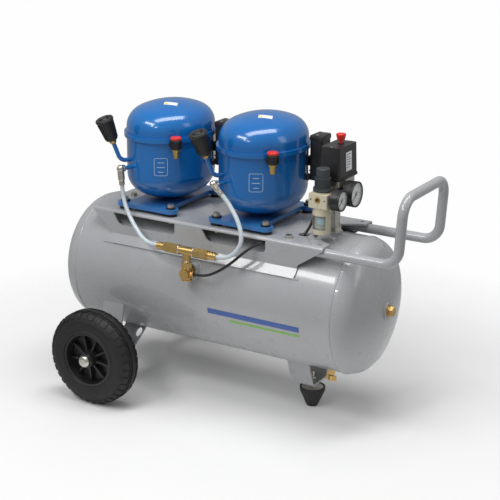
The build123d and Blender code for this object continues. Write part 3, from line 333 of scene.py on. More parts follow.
def drop_selection():
    """Leaves edit mode and selects nothing."""
    if bpy.context.mode != "OBJECT":
        bpy.ops.object.mode_set(mode="OBJECT")
    bpy.ops.object.select_all(action="DESELECT")


def take(piece):
    """Makes piece the only selected and active object."""
    drop_selection()
    piece.select_set(True)
    bpy.context.view_layer.objects.active = piece


def settle(piece, name, look, body="root", smooth=35.0):
    """Puts a finished piece's place into its mesh, names it, and lets it ride its body."""
    take(piece)
    if piece.type == "CURVE":
        bpy.ops.object.convert(target="MESH")
        piece = bpy.context.object
    bpy.ops.object.transform_apply(location=True, rotation=True, scale=True)
    piece.name = piece.data.name = name
    piece.data.materials.clear()
    piece.data.materials.append(looks[look])
    if smooth:
        bpy.ops.object.shade_smooth_by_angle(angle=radians(smooth))
    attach(piece, body)
    look in slot_names
    return piece


def stand(place, facing):
    """Matrix that sets an object at place with its own Z along facing."""
    return Matrix.Translation(Vector(place)) @ Vector(facing).to_track_quat("Z", "Y").to_matrix().to_4x4()


def apply_modifier(piece, kind, **settings):
    """Adds one modifier to a piece and applies it."""
    take(piece)
    modifier = piece.modifiers.new(kind.lower(), kind)
    for setting, value in settings.items():
        setattr(modifier, setting, value)
    bpy.ops.object.modifier_apply(modifier=modifier.name)


def cylinder(place, radius, depth, along=(0, 0, 1), sides=48, bevel=0.0004):
    """Turned disc or bar with broken edges, centred at place."""
    drop_selection()
    turn = Vector(along).to_track_quat("Z", "Y").to_euler()
    bpy.ops.mesh.primitive_cylinder_add(vertices=sides, radius=radius, depth=depth, location=place,
                                        rotation=turn)
    made = bpy.context.object
    if bevel:
        apply_modifier(made, "BEVEL", width=bevel, segments=2, limit_method="ANGLE")
    return made


def ring(place, radius, thickness, along=(0, 0, 1), around=48):
    """Round bar bent into a ring about the line through place."""
    drop_selection()
    turn = Vector(along).to_track_quat("Z", "Y").to_euler()
    bpy.ops.mesh.primitive_torus_add(location=place, rotation=turn, major_radius=radius,
                                     minor_radius=thickness, major_segments=around, minor_segments=10)
    return bpy.context.object


def slab(low, high, bevel=0.0004):
    """Block with broken edges between two corners."""
    drop_selection()
    middle = (Vector(low) + Vector(high)) / 2
    bpy.ops.mesh.primitive_cube_add(size=1.0, location=middle)
    made = bpy.context.object
    made.scale = Vector(high) - Vector(low)
    bpy.ops.object.transform_apply(location=False, rotation=False, scale=True)
    if bevel:
        apply_modifier(made, "BEVEL", width=bevel, segments=2)
    return made


def join(parts):
    """Makes one object of several."""
    drop_selection()
    for part in parts:
        part.select_set(True)
    bpy.context.view_layer.objects.active = parts[0]
    bpy.ops.object.join()
    return bpy.context.object


def spun(profile, place, along, steps=96):
    """Surface of revolution: profile is (radius, run) pairs about the line through place."""
    drop_selection()
    bpy.ops.mesh.primitive_plane_add(size=1.0)
    made = bpy.context.object
    bpy.ops.object.mode_set(mode="EDIT")
    bpy.ops.mesh.select_all(action="SELECT")
    bpy.ops.mesh.delete(type="VERT")
    bpy.ops.object.mode_set(mode="OBJECT")
    made.data.from_pydata([(radius, 0.0, run) for radius, run in profile],
                          [(i, i + 1) for i in range(len(profile) - 1)], [])
    bpy.ops.object.mode_set(mode="EDIT")
    bpy.ops.mesh.select_all(action="SELECT")
    bpy.ops.mesh.spin(steps=steps, angle=2 * pi, center=(0, 0, 0), axis=(0, 0, 1))
    bpy.ops.mesh.select_all(action="SELECT")
    bpy.ops.mesh.remove_doubles(threshold=0.00001)
    bpy.ops.mesh.normals_make_consistent(inside=False)
    bpy.ops.object.mode_set(mode="OBJECT")
    made.matrix_world = stand(place, along)
    return made


def press(sheet, target, lift, thickness):
    """Presses a flat sheet onto a node along its own Z and thickens it."""
    apply_modifier(sheet, "SHRINKWRAP", target=nodes[target], wrap_method="PROJECT", use_project_z=True,
                   use_negative_direction=True, use_positive_direction=False, offset=lift)
    apply_modifier(sheet, "SOLIDIFY", thickness=thickness, offset=1.0)


def wrapped(size, place, facing, target, lift=0.0004, thickness=0.0003, cuts=24, roll=0.0):
    """Thin sheet pressed onto a curved node, seen square on along facing."""
    drop_selection()
    bpy.ops.mesh.primitive_grid_add(x_subdivisions=cuts, y_subdivisions=cuts, size=1.0)
    made = bpy.context.object
    made.scale = (*size, 1.0)
    bpy.ops.object.transform_apply(location=False, rotation=False, scale=True)
    made.matrix_world = stand(place, facing) @ Matrix.Rotation(roll, 4, "Z")
    press(made, target, lift, thickness)
    return made


def swept(name, route, radius, rings, steps, kind="NURBS"):
    """Round bar along a route: smoothed and capped, or straight between the points for a POLY."""
    line = bpy.data.curves.new(name, "CURVE")
    line.dimensions = "3D"
    line.bevel_depth = radius
    line.bevel_resolution = rings
    line.resolution_u = steps
    line.use_fill_caps = kind == "NURBS"
    spline = line.splines.new(kind)
    spline.points.add(len(route) - 1)
    for point, place in zip(spline.points, route):
        point.co = (*place, 1.0)
    spline.order_u = 3
    spline.use_endpoint_u = True
    bar = bpy.data.objects.new(name, line)
    bpy.context.scene.collection.objects.link(bar)
    return bar


# ---------------------------------------------------------------- hoses and the unloader tube
HOSES = {
    "hose_left": (0.0095, 0.1806, "hose_milky", [
        (-0.2446, -0.1295, 0.478), (-0.243, -0.1295, 0.459), (-0.235, -0.1335, 0.438),
        (-0.219, -0.141, 0.416), (-0.197, -0.150, 0.395), (-0.172, -0.160, 0.377),
        (-0.149, -0.165, 0.368), (-0.127, -0.165, 0.368)]),
    "hose_right": (0.0095, 0.1889, "hose_milky", [
        (0.014, -0.1295, 0.495), (0.0265, -0.1295, 0.4835), (0.044, -0.1345, 0.466), (0.062, -0.142, 0.4465),
        (0.074, -0.1495, 0.426), (0.078, -0.155, 0.406), (0.0707, -0.1595, 0.3886), (0.0574, -0.163, 0.3753),
        (0.0402, -0.165, 0.368), (0.023, -0.165, 0.368)]),
    "unloader_tube": (0.006, 0.3723, "tube_black", [
        (-0.034, -0.165, 0.318), (-0.016, -0.165, 0.318), (0.005, -0.162, 0.323), (0.029, -0.156, 0.337),
        (0.053, -0.147, 0.357), (0.073, -0.137, 0.378), (0.091, -0.124, 0.394), (0.112, -0.107, 0.4025),
        (0.137, -0.086, 0.4015), (0.163, -0.062, 0.4025), (0.177, -0.049, 0.419), (0.184, -0.039, 0.441),
        (0.187, -0.029, 0.463), (0.187, -0.020, 0.485), (0.187, -0.020, 0.506)]),
}


def make_hose(node, diameter, length, look, route):
    """Smooth hose on its route; the length it is given is not used."""
    hose = swept(node + "_run", route, diameter / 2, 6, 16)
    hose.data.materials.append(looks[look])
    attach(hose, "root")
    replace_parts(hose, node)


for hose_node, facts in HOSES.items():
    make_hose(hose_node, *facts)


# ---------------------------------------------------------------- tyres with a cut tread
WHEEL_X, WHEEL_Z, WHEEL_R = -0.250, 0.108, 0.108
TYRE_OUT_Y, TYRE_WIDTH, BEAD_R = 0.270, 0.063, 0.061
TREAD_STEPS = 108
TREAD_DEPTH, SHOULDER_DEPTH = 0.0022, 0.0016
BAND_LOW = 0.0255                        # bands are measured from the tyre's outer face
BAR_ROW, SHOULDER_ROW = (0.0185, 0.0208), (0.0057, 0.0160)
TREAD_REACH = 0.016                      # how far in from the tread the bands go


def in_band(face, low, high, side):
    """True for a tyre face whose centre lies between two distances from the tyre's outer face."""
    inset = TYRE_OUT_Y - side * face.center.y
    radius = ((face.center.x - WHEEL_X) ** 2 + (face.center.z - WHEEL_Z) ** 2) ** 0.5
    return low < inset < high and radius > WHEEL_R - TREAD_REACH


def turn_of(face):
    """Step of the tread that a tyre face belongs to."""
    return (atan2(face.center.z - WHEEL_Z, face.center.x - WHEEL_X) / (2 * pi) * TREAD_STEPS) % TREAD_STEPS


def raise_blocks(tyre, wanted, amount, inset):
    """Lifts the wanted faces off the carcass and insets their tops."""
    take(tyre)
    bpy.ops.object.mode_set(mode="EDIT")
    bpy.ops.mesh.select_mode(type="FACE")
    bpy.ops.mesh.select_all(action="DESELECT")
    bpy.ops.object.mode_set(mode="OBJECT")
    for face in tyre.data.polygons:
        face.select = wanted(face)
    bpy.ops.object.mode_set(mode="EDIT")
    bpy.ops.mesh.extrude_region_shrink_fatten(TRANSFORM_OT_shrink_fatten={"value": amount})
    bpy.ops.mesh.inset(thickness=inset, depth=0.0)
    bpy.ops.object.mode_set(mode="OBJECT")


def make_tyre(node, body, side):
    """Tyre with a raised centre band, two rows of short bars and two rows of shoulder blocks."""
    r = WHEEL_R - TREAD_DEPTH
    half = TYRE_WIDTH / 2
    edge = [(BEAD_R, half - 0.004), (BEAD_R + 0.002, half - 0.001), (BEAD_R + 0.006, half - 0.0002),
            (BEAD_R + 0.0075, half - 0.0016), (BEAD_R + 0.012, half - 0.0014),
            (BEAD_R + 0.020, half - 0.0004), (BEAD_R + 0.0265, half - 0.0012),
            (r - 0.0145, half - 0.0030), (r - 0.010, half - 0.0055),
            (r - 0.0055, half - 0.0095), (r - 0.003, half - 0.0125), (r - 0.0014, half - 0.0160),
            (r - 0.0006, half - 0.0185), (r - 0.0003, half - 0.0210), (r, half - 0.0255)]
    profile = edge + [(radius, -run) for radius, run in reversed(edge)]
    tyre = spun(profile, (WHEEL_X, side * (TYRE_OUT_Y - half), WHEEL_Z), (0, 1, 0), TREAD_STEPS)
    take(tyre)
    bpy.ops.object.transform_apply(location=True, rotation=True, scale=True)
    raise_blocks(tyre, lambda face: in_band(face, BAND_LOW, TYRE_WIDTH - BAND_LOW, side), TREAD_DEPTH, 0.0004)
    for row, pitch, kept, depth in ((BAR_ROW, 4, 3, TREAD_DEPTH), (SHOULDER_ROW, 3, 2, SHOULDER_DEPTH)):
        for low, high in (row, (TYRE_WIDTH - row[1], TYRE_WIDTH - row[0])):
            raise_blocks(tyre, lambda face: in_band(face, low, high, side) and turn_of(face) % pitch < kept,
                         depth, 0.0003)
    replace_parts(settle(tyre, node + "_tread", "tyre_rubber", body, smooth=32.0), node)


make_tyre("tyre_front", "wheel_front", -1)
make_tyre("tyre_rear", "wheel_rear", 1)


# ---------------------------------------------------------------- gauges
PORT_Z = 0.501
GAUGES = {
    "large": {"y": 0.005, "face": 0.265, "radius": 0.0275, "top": 12},
    "small": {"y": -0.057, "face": 0.263, "radius": 0.022, "top": 10},
}
DIAL_DEPTH = 0.004
DIAL_SWEEP = 270.0
TICKS_PER_UNIT = 5
TICK_THICKNESS = 0.00012
UPRIGHT = Matrix(((0, 0, 1), (1, 0, 0), (0, 1, 0))).to_4x4()    # a figure lying flat, stood to face +X


def on_dial(gauge, turn, radius, lift=0.0):
    """Point on a gauge's dial: turn in degrees from the top, clockwise seen from in front."""
    angle = radians(turn)
    return Vector((gauge["face"] - DIAL_DEPTH + 0.0003 + lift, gauge["y"] + radius * sin(angle),
                   PORT_Z + radius * cos(angle)))


def make_dial(name, gauge):
    """White dial with ticks and plain numbers, a black bezel round it and a cap on the needle."""
    disc_r = gauge["radius"] - 0.0022
    dial = cylinder(on_dial(gauge, 0, 0.0) - Vector((0.0001, 0, 0)), disc_r, 0.0003, (1, 0, 0), 96, 0.0)
    settle(dial, f"dial_{name}", "dial_white")
    ticks = []
    last = gauge["top"] * TICKS_PER_UNIT
    for step in range(last + 1):
        turn = DIAL_SWEEP * (step / last - 0.5)
        long, wide = 0.0016, 0.00035
        if step % TICKS_PER_UNIT == 0:
            long = 0.0026
        if step % (2 * TICKS_PER_UNIT) == 0:
            long, wide = 0.0042, 0.0007
        drop_selection()
        bpy.ops.mesh.primitive_cube_add(size=1.0)
        tick = bpy.context.object
        tick.matrix_world = (Matrix.Translation(on_dial(gauge, turn, disc_r - 0.001 - long / 2, 0.0001))
                             @ Matrix.Rotation(radians(-turn), 4, "X")
                             @ Matrix.Diagonal((TICK_THICKNESS, wide, long, 1)))
        ticks.append(tick)
    settle(join(ticks), f"dial_ticks_{name}", "dial_black", smooth=0)
    numbers = []
    for number in range(0, gauge["top"] + 1, 2):
        turn = DIAL_SWEEP * (number / gauge["top"] - 0.5)
        drop_selection()
        bpy.ops.object.text_add()
        figure = bpy.context.object
        figure.data.body = str(number)
        figure.data.size = gauge["radius"] * 0.22
        figure.data.align_x, figure.data.align_y = "CENTER", "CENTER"
        figure.data.extrude = 0.00006
        bpy.ops.object.convert(target="MESH")
        figure = bpy.context.object
        figure.matrix_world = Matrix.Translation(on_dial(gauge, turn, disc_r - 0.0078, 0.0001)) @ UPRIGHT
        numbers.append(figure)
    settle(join(numbers), f"dial_numbers_{name}", "dial_black", smooth=0)
    r = gauge["radius"]
    bezel = spun([(r - 0.0024, -0.0015), (r - 0.0022, 0.0), (r - 0.0008, 0.0), (r + 0.0001, -0.001),
                  (r + 0.0004, -0.005), (r + 0.0001, -0.0056)],
                 (gauge["face"], gauge["y"], PORT_Z), (1, 0, 0), 96)
    settle(bezel, f"bezel_{name}", "black_plastic")
    cap = cylinder((gauge["face"] - DIAL_DEPTH + 0.0021, gauge["y"], PORT_Z), 0.0028, 0.0012, (1, 0, 0), 32)
    settle(cap, f"needle_cap_{name}", "dial_black")


for gauge_name, gauge_facts in GAUGES.items():
    make_dial(gauge_name, gauge_facts)


# ---------------------------------------------------------------- filter regulator
REG_X, REG_Y = 0.215, -0.057
REG_TOP, REG_FRONT_Y = 0.516, -0.079
ELEMENT_DISCS = (
    # name, height, radius, thickness, look
    ("element_cap", 0.4668, 0.0128, 0.0040, "dial_white"),
    ("element_seal", 0.4628, 0.0122, 0.0034, "black_rubber"),
    ("element_foot", 0.4445, 0.0118, 0.0026, "black_plastic"),
)
BOWL_COLLAR_Z, BOWL_FOOT_Z = 0.4655, 0.4205
THREAD_PITCH = 0.0022


def ribs_round(centre, radius, count, size, along_z, lean=0.0, start=0.0):
    """Upright ribs in a ring; size is (thickness, width, height) and lean tips them outwards."""
    ribs = []
    for index in range(count):
        angle = start + 2 * pi * index / count
        drop_selection()
        bpy.ops.mesh.primitive_cube_add(size=1.0)
        rib = bpy.context.object
        rib.matrix_world = (Matrix.Translation(Vector((*centre, along_z))) @ Matrix.Rotation(angle, 4, "Z")
                            @ Matrix.Translation(Vector((radius, 0, 0))) @ Matrix.Rotation(lean, 4, "Y")
                            @ Matrix.Diagonal((*size, 1)))
        ribs.append(rib)
    return join(ribs)


def make_regulator_details():
    """Grip ribs of the knob, threaded outlet, filter element's discs and the bowl's collar and drain."""
    axis = (REG_X, REG_Y)
    knob_ribs = ribs_round(axis, 0.0163, 30, (0.0016, 0.0014, 0.017), REG_TOP + 0.0175)
    settle(knob_ribs, "knob_ribs", "knob_grey", "pressure_knob", smooth=0)
    skirt = ring((*axis, REG_TOP + 0.0042), 0.0195, 0.0009)
    settle(skirt, "knob_skirt_ring", "knob_grey", "pressure_knob")
    collar = spun([(0.0165, 0.0), (0.0172, 0.0004), (0.0172, 0.0016), (0.0165, 0.002)],
                  (*axis, REG_TOP + 0.0285), (0, 0, 1), 64)
    settle(collar, "knob_collar", "knob_grey", "pressure_knob")
    outlet = spun([(0.0040, -0.010), (0.0040, 0.0006), (0.0052, 0.0010), (0.0066, 0.0008), (0.0066, -0.001)],
                  (REG_X, REG_FRONT_Y, PORT_Z), (0, -1, 0), 48)
    settle(outlet, "outlet_thread_insert", "brass")
    for turn in range(4):
        place = (REG_X, REG_FRONT_Y + 0.0005 + THREAD_PITCH * turn, PORT_Z)
        settle(ring(place, 0.0042, 0.0004, (0, 1, 0), 36), f"outlet_thread_{turn}", "brass")
    arrow = slab((REG_X - 0.0005, REG_FRONT_Y - 0.0002, PORT_Z - 0.0152),
                 (REG_X + 0.0005, REG_FRONT_Y + 0.0001, PORT_Z - 0.0102), 0)
    settle(arrow, "flow_mark", "label_grey", smooth=0)
    for name, height, radius, thickness, look in ELEMENT_DISCS:
        settle(cylinder((*axis, height), radius, thickness, bevel=0.0005), name, look)
    band = spun([(0.0192, 0.0), (0.0204, 0.0006), (0.0206, 0.0044), (0.0192, 0.005)],
                (*axis, BOWL_COLLAR_Z), (0, 0, 1), 72)
    settle(band, "bowl_collar", "ivory_paint")
    foot = spun([(0.0, 0.0), (0.0060, 0.0), (0.0064, 0.0010), (0.0064, 0.0040), (0.0, 0.0040)],
                (*axis, BOWL_FOOT_Z), (0, 0, 1), 40)
    settle(foot, "bowl_drain_knob", "black_plastic")


make_regulator_details()


# ---------------------------------------------------------------- pressure switch
COVER_X, SCREW_Z = 0.215, 0.6022
COVER_SCREWS = {"front": -0.0215, "rear": 0.0455}
LABEL_FROM_X, LABEL_Y, LABEL_Z = 0.28, 0.0135, 0.5680
LABEL_BARS = (0.019, 0.014, 0.020, 0.016, 0.019, 0.011)
BARS_Y, BARS_Z, BARS_PITCH = 0.0030, 0.5835, 0.0055


def make_switch_details():
    """Rating label on the cover's sloping end, and the two cover screws."""
    front = (1, 0, 0)
    place = (LABEL_FROM_X, LABEL_Y, LABEL_Z)
    label = wrapped((0.026, 0.040), place, front, "switch_cover", 0.0002, 0.0003, 2)
    settle(label, "rating_label", "label_white", smooth=0)
    bars = []
    for row, wide in enumerate(LABEL_BARS):
        place = (LABEL_FROM_X, BARS_Y + wide / 2, BARS_Z - BARS_PITCH * row)
        bars.append(wrapped((wide, 0.0018), place, front, "switch_cover", 0.0005, 0.0002, 1))
    settle(join(bars), "rating_label_bars", "label_grey", smooth=0)
    place = (LABEL_FROM_X, BARS_Y + 0.0019, LABEL_Z - 0.0165)
    mark = wrapped((0.0038, 0.0030), place, front, "switch_cover", 0.0005, 0.0002, 1)
    settle(mark, "rating_label_mark", "label_yellow", smooth=0)
    for end, y in COVER_SCREWS.items():
        settle(cylinder((COVER_X, y, SCREW_Z), 0.0026, 0.0012, sides=24), f"cover_screw_{end}", "zinc")


make_switch_details()


# ---------------------------------------------------------------- compressors
# Angles and heights are those of shell_point; sizes are width and height.
COMP_X = {"left": -0.2035, "right": 0.0375}
COMP_Y = 0.005
SHELL_A, SHELL_B = 0.092, 0.113
SUCTION_ANGLE, SUCTION_Z, SUCTION_OUT, SUCTION_LEAN = 63.0, 0.528, 0.023, 0.38
FILTER_BASE, FILTER_TIP = 0.050, 0.097
OIL_ANGLE, OIL_Z, OIL_OUT = 132.5, 0.552, 0.020
PRINT_ANGLE, PRINT_Z, PRINT_BARS = 116.0, 0.522, (0.014, 0.017, 0.012)
PLATE_ANGLE, PLATE_Z, PLATE_SIZE = 155.0, 0.525, (0.052, 0.072)
RIVET_RUN, RIVET_RISE = 0.023, 0.033
CLEAR_OF_SHELL, ABOVE_DOME = 0.02, 0.70
STICKER_TURN = radians(24)


def shell_point(side, angle, height, out=0.0):
    """Point on an oval shell, or out from it, and the normal there; angle from -X towards -Y."""
    foot = Vector((-SHELL_A * cos(radians(angle)), -SHELL_B * sin(radians(angle)), 0))
    normal = Vector((foot.x / SHELL_A ** 2, foot.y / SHELL_B ** 2, 0)).normalized()
    return Vector((COMP_X[side], COMP_Y, height)) + foot + normal * out, normal


def outline(size, line, corner, place, facing, target):
    """Rounded outline printed on a curved node."""
    drop_selection()
    bpy.ops.mesh.primitive_plane_add(size=1.0)
    border = bpy.context.object
    border.scale = (*size, 1.0)
    bpy.ops.object.transform_apply(location=False, rotation=False, scale=True)
    bpy.ops.object.mode_set(mode="EDIT")
    bpy.ops.mesh.select_all(action="SELECT")
    bpy.ops.mesh.bevel(offset=corner, segments=6, affect="VERTICES")
    bpy.ops.mesh.select_all(action="SELECT")
    bpy.ops.mesh.inset(thickness=line, depth=0.0)
    bpy.ops.mesh.delete(type="FACE")
    bpy.ops.mesh.select_all(action="SELECT")
    bpy.ops.mesh.subdivide(number_cuts=5)
    bpy.ops.object.mode_set(mode="OBJECT")
    border.matrix_world = stand(place, facing)
    press(border, target, 0.0003, 0.0002)
    return border


def make_shell_prints(side):
    """Outlined print and riveted plate on a lower shell, and a sticker on the dome above."""
    lower, upper = f"lower_shell_{side}", f"upper_shell_{side}"
    place, normal = shell_point(side, PRINT_ANGLE, PRINT_Z, CLEAR_OF_SHELL)
    border = outline((0.030, 0.040), 0.0010, 0.004, place, normal, lower)
    settle(border, f"shell_print_{side}", "print_pale", smooth=0)
    bars = []
    for row, wide in enumerate(PRINT_BARS):
        rise = Vector((0, 0, 0.0095 - 0.0105 * row))
        bars.append(wrapped((wide, 0.0014), place + rise, normal, lower, 0.0003, 0.0002, 8))
    settle(join(bars), f"shell_print_bars_{side}", "print_pale", smooth=0)
    place, normal = shell_point(side, PLATE_ANGLE, PLATE_Z, CLEAR_OF_SHELL)
    plate = wrapped(PLATE_SIZE, place, normal, lower, 0.0, 0.0009, 28)
    settle(plate, f"shell_plate_{side}", "shell_blue", smooth=40.0)
    sideways = Vector((0, 0, 1)).cross(normal)
    rivets = []
    for rise in (RIVET_RISE, -RIVET_RISE):
        for run in (-RIVET_RUN, RIVET_RUN):
            spot = place + sideways * run + Vector((0, 0, rise))
            rivets.append(wrapped((0.0035, 0.0035), spot, normal, lower, 0.0009, 0.0006, 4))
    settle(join(rivets), f"shell_plate_rivets_{side}", "shell_blue", smooth=0)
    up = (0, 0, 1)
    spot = Vector((COMP_X[side] + 0.020, COMP_Y - 0.030, ABOVE_DOME))
    sticker = wrapped((0.030, 0.016), spot, up, upper, 0.0003, 0.0002, 12, STICKER_TURN)
    settle(sticker, f"dome_sticker_{side}", "label_white", smooth=40.0)
    corner = spot + Matrix.Rotation(STICKER_TURN, 3, "Z") @ Vector((-0.010, -0.002, 0))
    mark = wrapped((0.007, 0.008), corner, up, upper, 0.0005, 0.0002, 6, STICKER_TURN)
    settle(mark, f"dome_sticker_mark_{side}", "label_yellow", smooth=0)


def make_filter_fins(side):
    """Moulded fins, rim and lid of the leaning intake filter, and the nut under it."""
    base, tip = (shell_point(side, SUCTION_ANGLE, SUCTION_Z + rise, SUCTION_OUT + SUCTION_LEAN * rise)[0]
                 for rise in (FILTER_BASE, FILTER_TIP))
    axis = (tip - base).normalized()
    length = (tip - base).length
    fins = ribs_round((0, 0), 0.0158, 18, (0.0022, 0.0016, length - 0.012), length / 2 - 0.003,
                      lean=radians(6.5))
    fins.matrix_world = stand(base, axis) @ fins.matrix_world
    settle(fins, f"filter_fins_{side}", "black_plastic", smooth=0)
    rim = ring(tip - axis * 0.003, 0.0193, 0.0012, axis)
    settle(rim, f"filter_rim_{side}", "black_plastic")
    hub = spun([(0.0, 0.0016), (0.006, 0.0014), (0.0075, 0.0), (0.011, 0.0), (0.012, 0.0010),
                (0.0178, 0.0008), (0.0188, 0.0)], tip, axis, 64)
    settle(hub, f"filter_lid_{side}", "black_plastic")
    nut = spun([(0.0072, 0.0), (0.0084, 0.0006), (0.0084, 0.0046), (0.0072, 0.0052)],
               base - axis * 0.0075, axis, 6)
    settle(nut, f"filter_nut_{side}", "brass", smooth=0)


def make_oil_port(side):
    """Knurl and seal of the oil valve's collar and cap, and the flared lip below them."""
    place, _ = shell_point(side, OIL_ANGLE, OIL_Z, OIL_OUT)
    knurl = ribs_round(place.xy, 0.0130, 28, (0.0010, 0.0012, 0.0140), OIL_Z + 0.025)
    settle(knurl, f"oil_collar_ribs_{side}", "black_plastic", smooth=0)
    seal = ring((place.x, place.y, OIL_Z + 0.0352), 0.0120, 0.0008)
    settle(seal, f"oil_cap_seal_{side}", "black_rubber")
    lip = spun([(0.0078, 0.0), (0.0098, 0.0008), (0.0102, 0.0042), (0.0084, 0.0048)],
               (place.x, place.y, OIL_Z + 0.0098), (0, 0, 1), 48)
    settle(lip, f"oil_valve_cup_{side}", "brass")


BOX_X, BOX_Y, BOX_LOW, BOX_TOP = 0.110, 0.052, 0.507, 0.605
BAIL = ((-0.010, -0.030, 0.589), (-0.004, -0.029, 0.592), (0.001, -0.027, 0.582), (0.0005, -0.026, 0.560),
        (-0.0005, -0.0255, 0.540), (0.001, -0.025, 0.520), (0.003, -0.023, 0.512))


def make_start_box(side):
    """Lid, seam, lid screws, bail wire and lower clip of the start box on a compressor's side."""
    x, y = COMP_X[side] + BOX_X, COMP_Y + BOX_Y
    near = x - 0.0175
    lid = slab((x - 0.0158, y - 0.0228, BOX_TOP - 0.012), (x + 0.0158, y + 0.0228, BOX_TOP + 0.0012), 0.004)
    settle(lid, f"start_box_lid_{side}", "switch_black", smooth=40.0)
    seam = slab((x - 0.0155, y - 0.0225, BOX_LOW + 0.020), (x + 0.0155, y + 0.0225, BOX_LOW + 0.0215), 0.0005)
    settle(seam, f"start_box_seam_{side}", "switch_black", smooth=40.0)
    for end, spot in (("front", y - 0.014), ("rear", y + 0.014)):
        screw = cylinder((x, spot, BOX_TOP + 0.0012), 0.0032, 0.0012, sides=24)
        settle(screw, f"lid_screw_{side}_{end}", "zinc")
    route = [(near + run, y + across, z) for run, across, z in BAIL]
    name = f"start_box_bail_{side}"
    settle(swept(name, route, 0.0015, 4, 12), name, "tube_black")
    drop_selection()
    bpy.ops.mesh.primitive_uv_sphere_add(segments=24, ring_count=14,
                                         location=(near + 0.001, y - 0.023, 0.5135))
    clip = bpy.context.object
    clip.scale = (0.006, 0.007, 0.0085)
    settle(clip, f"start_box_clip_{side}", "switch_black")


for shell_side in COMP_X:
    make_shell_prints(shell_side)
    make_filter_fins(shell_side)
    make_oil_port(shell_side)
    make_start_box(shell_side)


# ---------------------------------------------------------------- plain stripes on the tank
STRIPES = (
    # name, middle z, width, first x, last x, look
    ("stripe_upper", 0.236, 0.012, -0.010, 0.215, "stripe_blue"),
    ("stripe_lower", 0.221, 0.005, 0.045, 0.215, "stripe_green"),
)
CLEAR_OF_TANK = -0.17


def make_tank_stripes():
    """Two plain stripes on the tank's working side."""
    for name, z, width, x_low, x_high, look in STRIPES:
        place = ((x_low + x_high) / 2, CLEAR_OF_TANK, z)
        stripe = wrapped((x_high - x_low, width), place, (0, -1, 0), "tank_shell", 0.0003, 0.0002, 24)
        settle(stripe, name, look, smooth=0)


make_tank_stripes()


# ---------------------------------------------------------------- brass and nickel fittings
VALVE_X, VALVE_Y, VALVE_Z, TEE_Z = -0.052, -0.165, 0.318, 0.368
BEAD = 0.0014
BARB_START, BARB_PITCH, BARB_TAGS = 0.058, 0.006, ("0", "right", "2")


def make_fitting_details():
    """Collars, ribs and beads that the turned fittings carry."""
    along_x, along_z = (1, 0, 0), (0, 0, 1)
    beads = []
    for side, run in (("left", -1), ("right", 1)):
        beads.append((f"tee_lip_{side}", (run * 0.0185, TEE_Z), 0.0098, BEAD, along_x, "nickel"))
        for rib, tag in enumerate(BARB_TAGS):
            spot = (run * (BARB_START + BARB_PITCH * rib), TEE_Z)
            beads.append((f"barb_{side}_{tag}", spot, 0.0078, 0.0012, along_x, "brass"))
    beads.append(("tee_lip_low", (0, TEE_Z - 0.0225), 0.0092, BEAD, along_z, "nickel"))
    beads.append(("inlet_lip_top", (0, VALVE_Z + 0.0125), 0.0106, BEAD, along_z, "brass"))
    beads.append(("inlet_lip_low", (0, VALVE_Z - 0.0145), 0.0106, BEAD, along_z, "brass"))
    beads.append(("unloader_gland", (0.015, VALVE_Z), 0.0052, BEAD, along_x, "brass"))
    for name, (run, z), radius, thick, along, look in beads:
        settle(ring((VALVE_X + run, VALVE_Y, z), radius, thick, along, 40), name, look)
    nut = spun([(0.0031, 0.0), (0.0064, 0.0), (0.0070, 0.0006), (0.0070, 0.0064), (0.0060, 0.0072),
                (0.0031, 0.0072)], (VALVE_X + 0.0108, VALVE_Y, VALVE_Z), along_x, 6)
    settle(nut, "unloader_nut", "brass", smooth=0)


make_fitting_details()


# ---------------------------------------------------------------- weld beads
TANK_Z, TANK_R = 0.259, 0.150
WELD_R, WELD_RIPPLE, WELD_PITCH, WELD_STEP = 0.0022, 0.16, 2.1, 0.002
SOCKET_WELD_R, SOCKET_WELD_STEPS = 0.0178, 60
SADDLE_WELDS_X, SADDLE_WELD_Z, SADDLE_WELD_LENGTH = (-0.300, -0.170, -0.040, 0.090, 0.170), 0.3385, 0.030


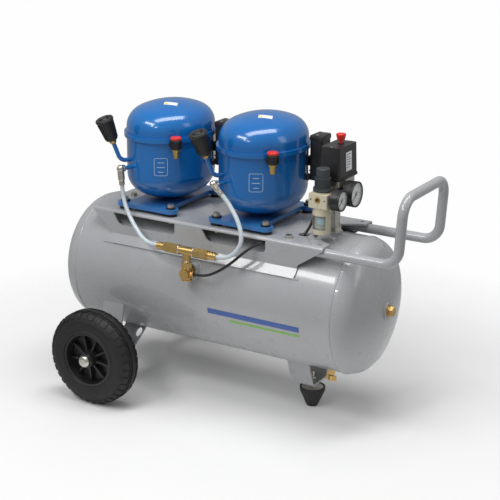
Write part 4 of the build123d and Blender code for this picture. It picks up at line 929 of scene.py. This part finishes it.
def make_weld(name, route):
    """Weld bead whose thickness ripples along its route."""
    bead = swept(name, route, WELD_R, 3, 2, "POLY")
    for index, point in enumerate(bead.data.splines[0].points):
        point.radius = 1.0 + WELD_RIPPLE * sin(index * WELD_PITCH)
    settle(bead, name, "tank_paint")


def straight(start, end, step=WELD_STEP):
    """Points along a straight run, about a step apart."""
    run = end - start
    count = max(2, int(run.length / step))
    return [start + run * (index / count) for index in range(count + 1)]


def tank_surface(x, z, side=-1):
    """Point on the tank's straight shell."""
    return Vector((x, side * (TANK_R ** 2 - (z - TANK_Z) ** 2) ** 0.5, z))


def make_welds():
    """Beads round the front socket and along the saddle's two edges."""
    turns = [2 * pi * step / SOCKET_WELD_STEPS for step in range(SOCKET_WELD_STEPS + 1)]
    make_weld("socket_weld_front", [tank_surface(VALVE_X + SOCKET_WELD_R * cos(turn),
                                                 VALVE_Z + SOCKET_WELD_R * sin(turn)) for turn in turns])
    for side, name in ((-1, "front"), (1, "rear")):
        for index, x in enumerate(SADDLE_WELDS_X):
            make_weld(f"saddle_weld_{name}_{index}",
                      straight(tank_surface(x, SADDLE_WELD_Z, side),
                               tank_surface(x + SADDLE_WELD_LENGTH, SADDLE_WELD_Z, side)))


make_welds()


# ---------------------------------------------------------------- floor
FLOOR_SIZE, FLOOR_CLEAR, FLOOR_END = 14.0, 0.42, 1.05


def make_floor():
    """Pale floor that fades into the backdrop around the object."""
    drop_selection()
    bpy.ops.mesh.primitive_plane_add(size=FLOOR_SIZE, location=(0, 0, cad_box[0][2] - 0.0002))
    floor = bpy.context.object
    floor.name = "floor"
    look = Finish("floor_pale", Roughness=0.6)
    look.set("Base Color", look.blend(look.noise(2.0, 2.0), (0.88, 0.88, 0.88), (0.92, 0.92, 0.92)))
    spot = look.node("ShaderNodeTexCoord", out="Object")
    reach = look.node("ShaderNodeVectorMath", {0: spot}, out="Value", operation="LENGTH")
    look.set("Alpha", 1 - look.spread(reach, FLOOR_CLEAR, FLOOR_END))
    floor.data.materials.append(look.material)


make_floor()
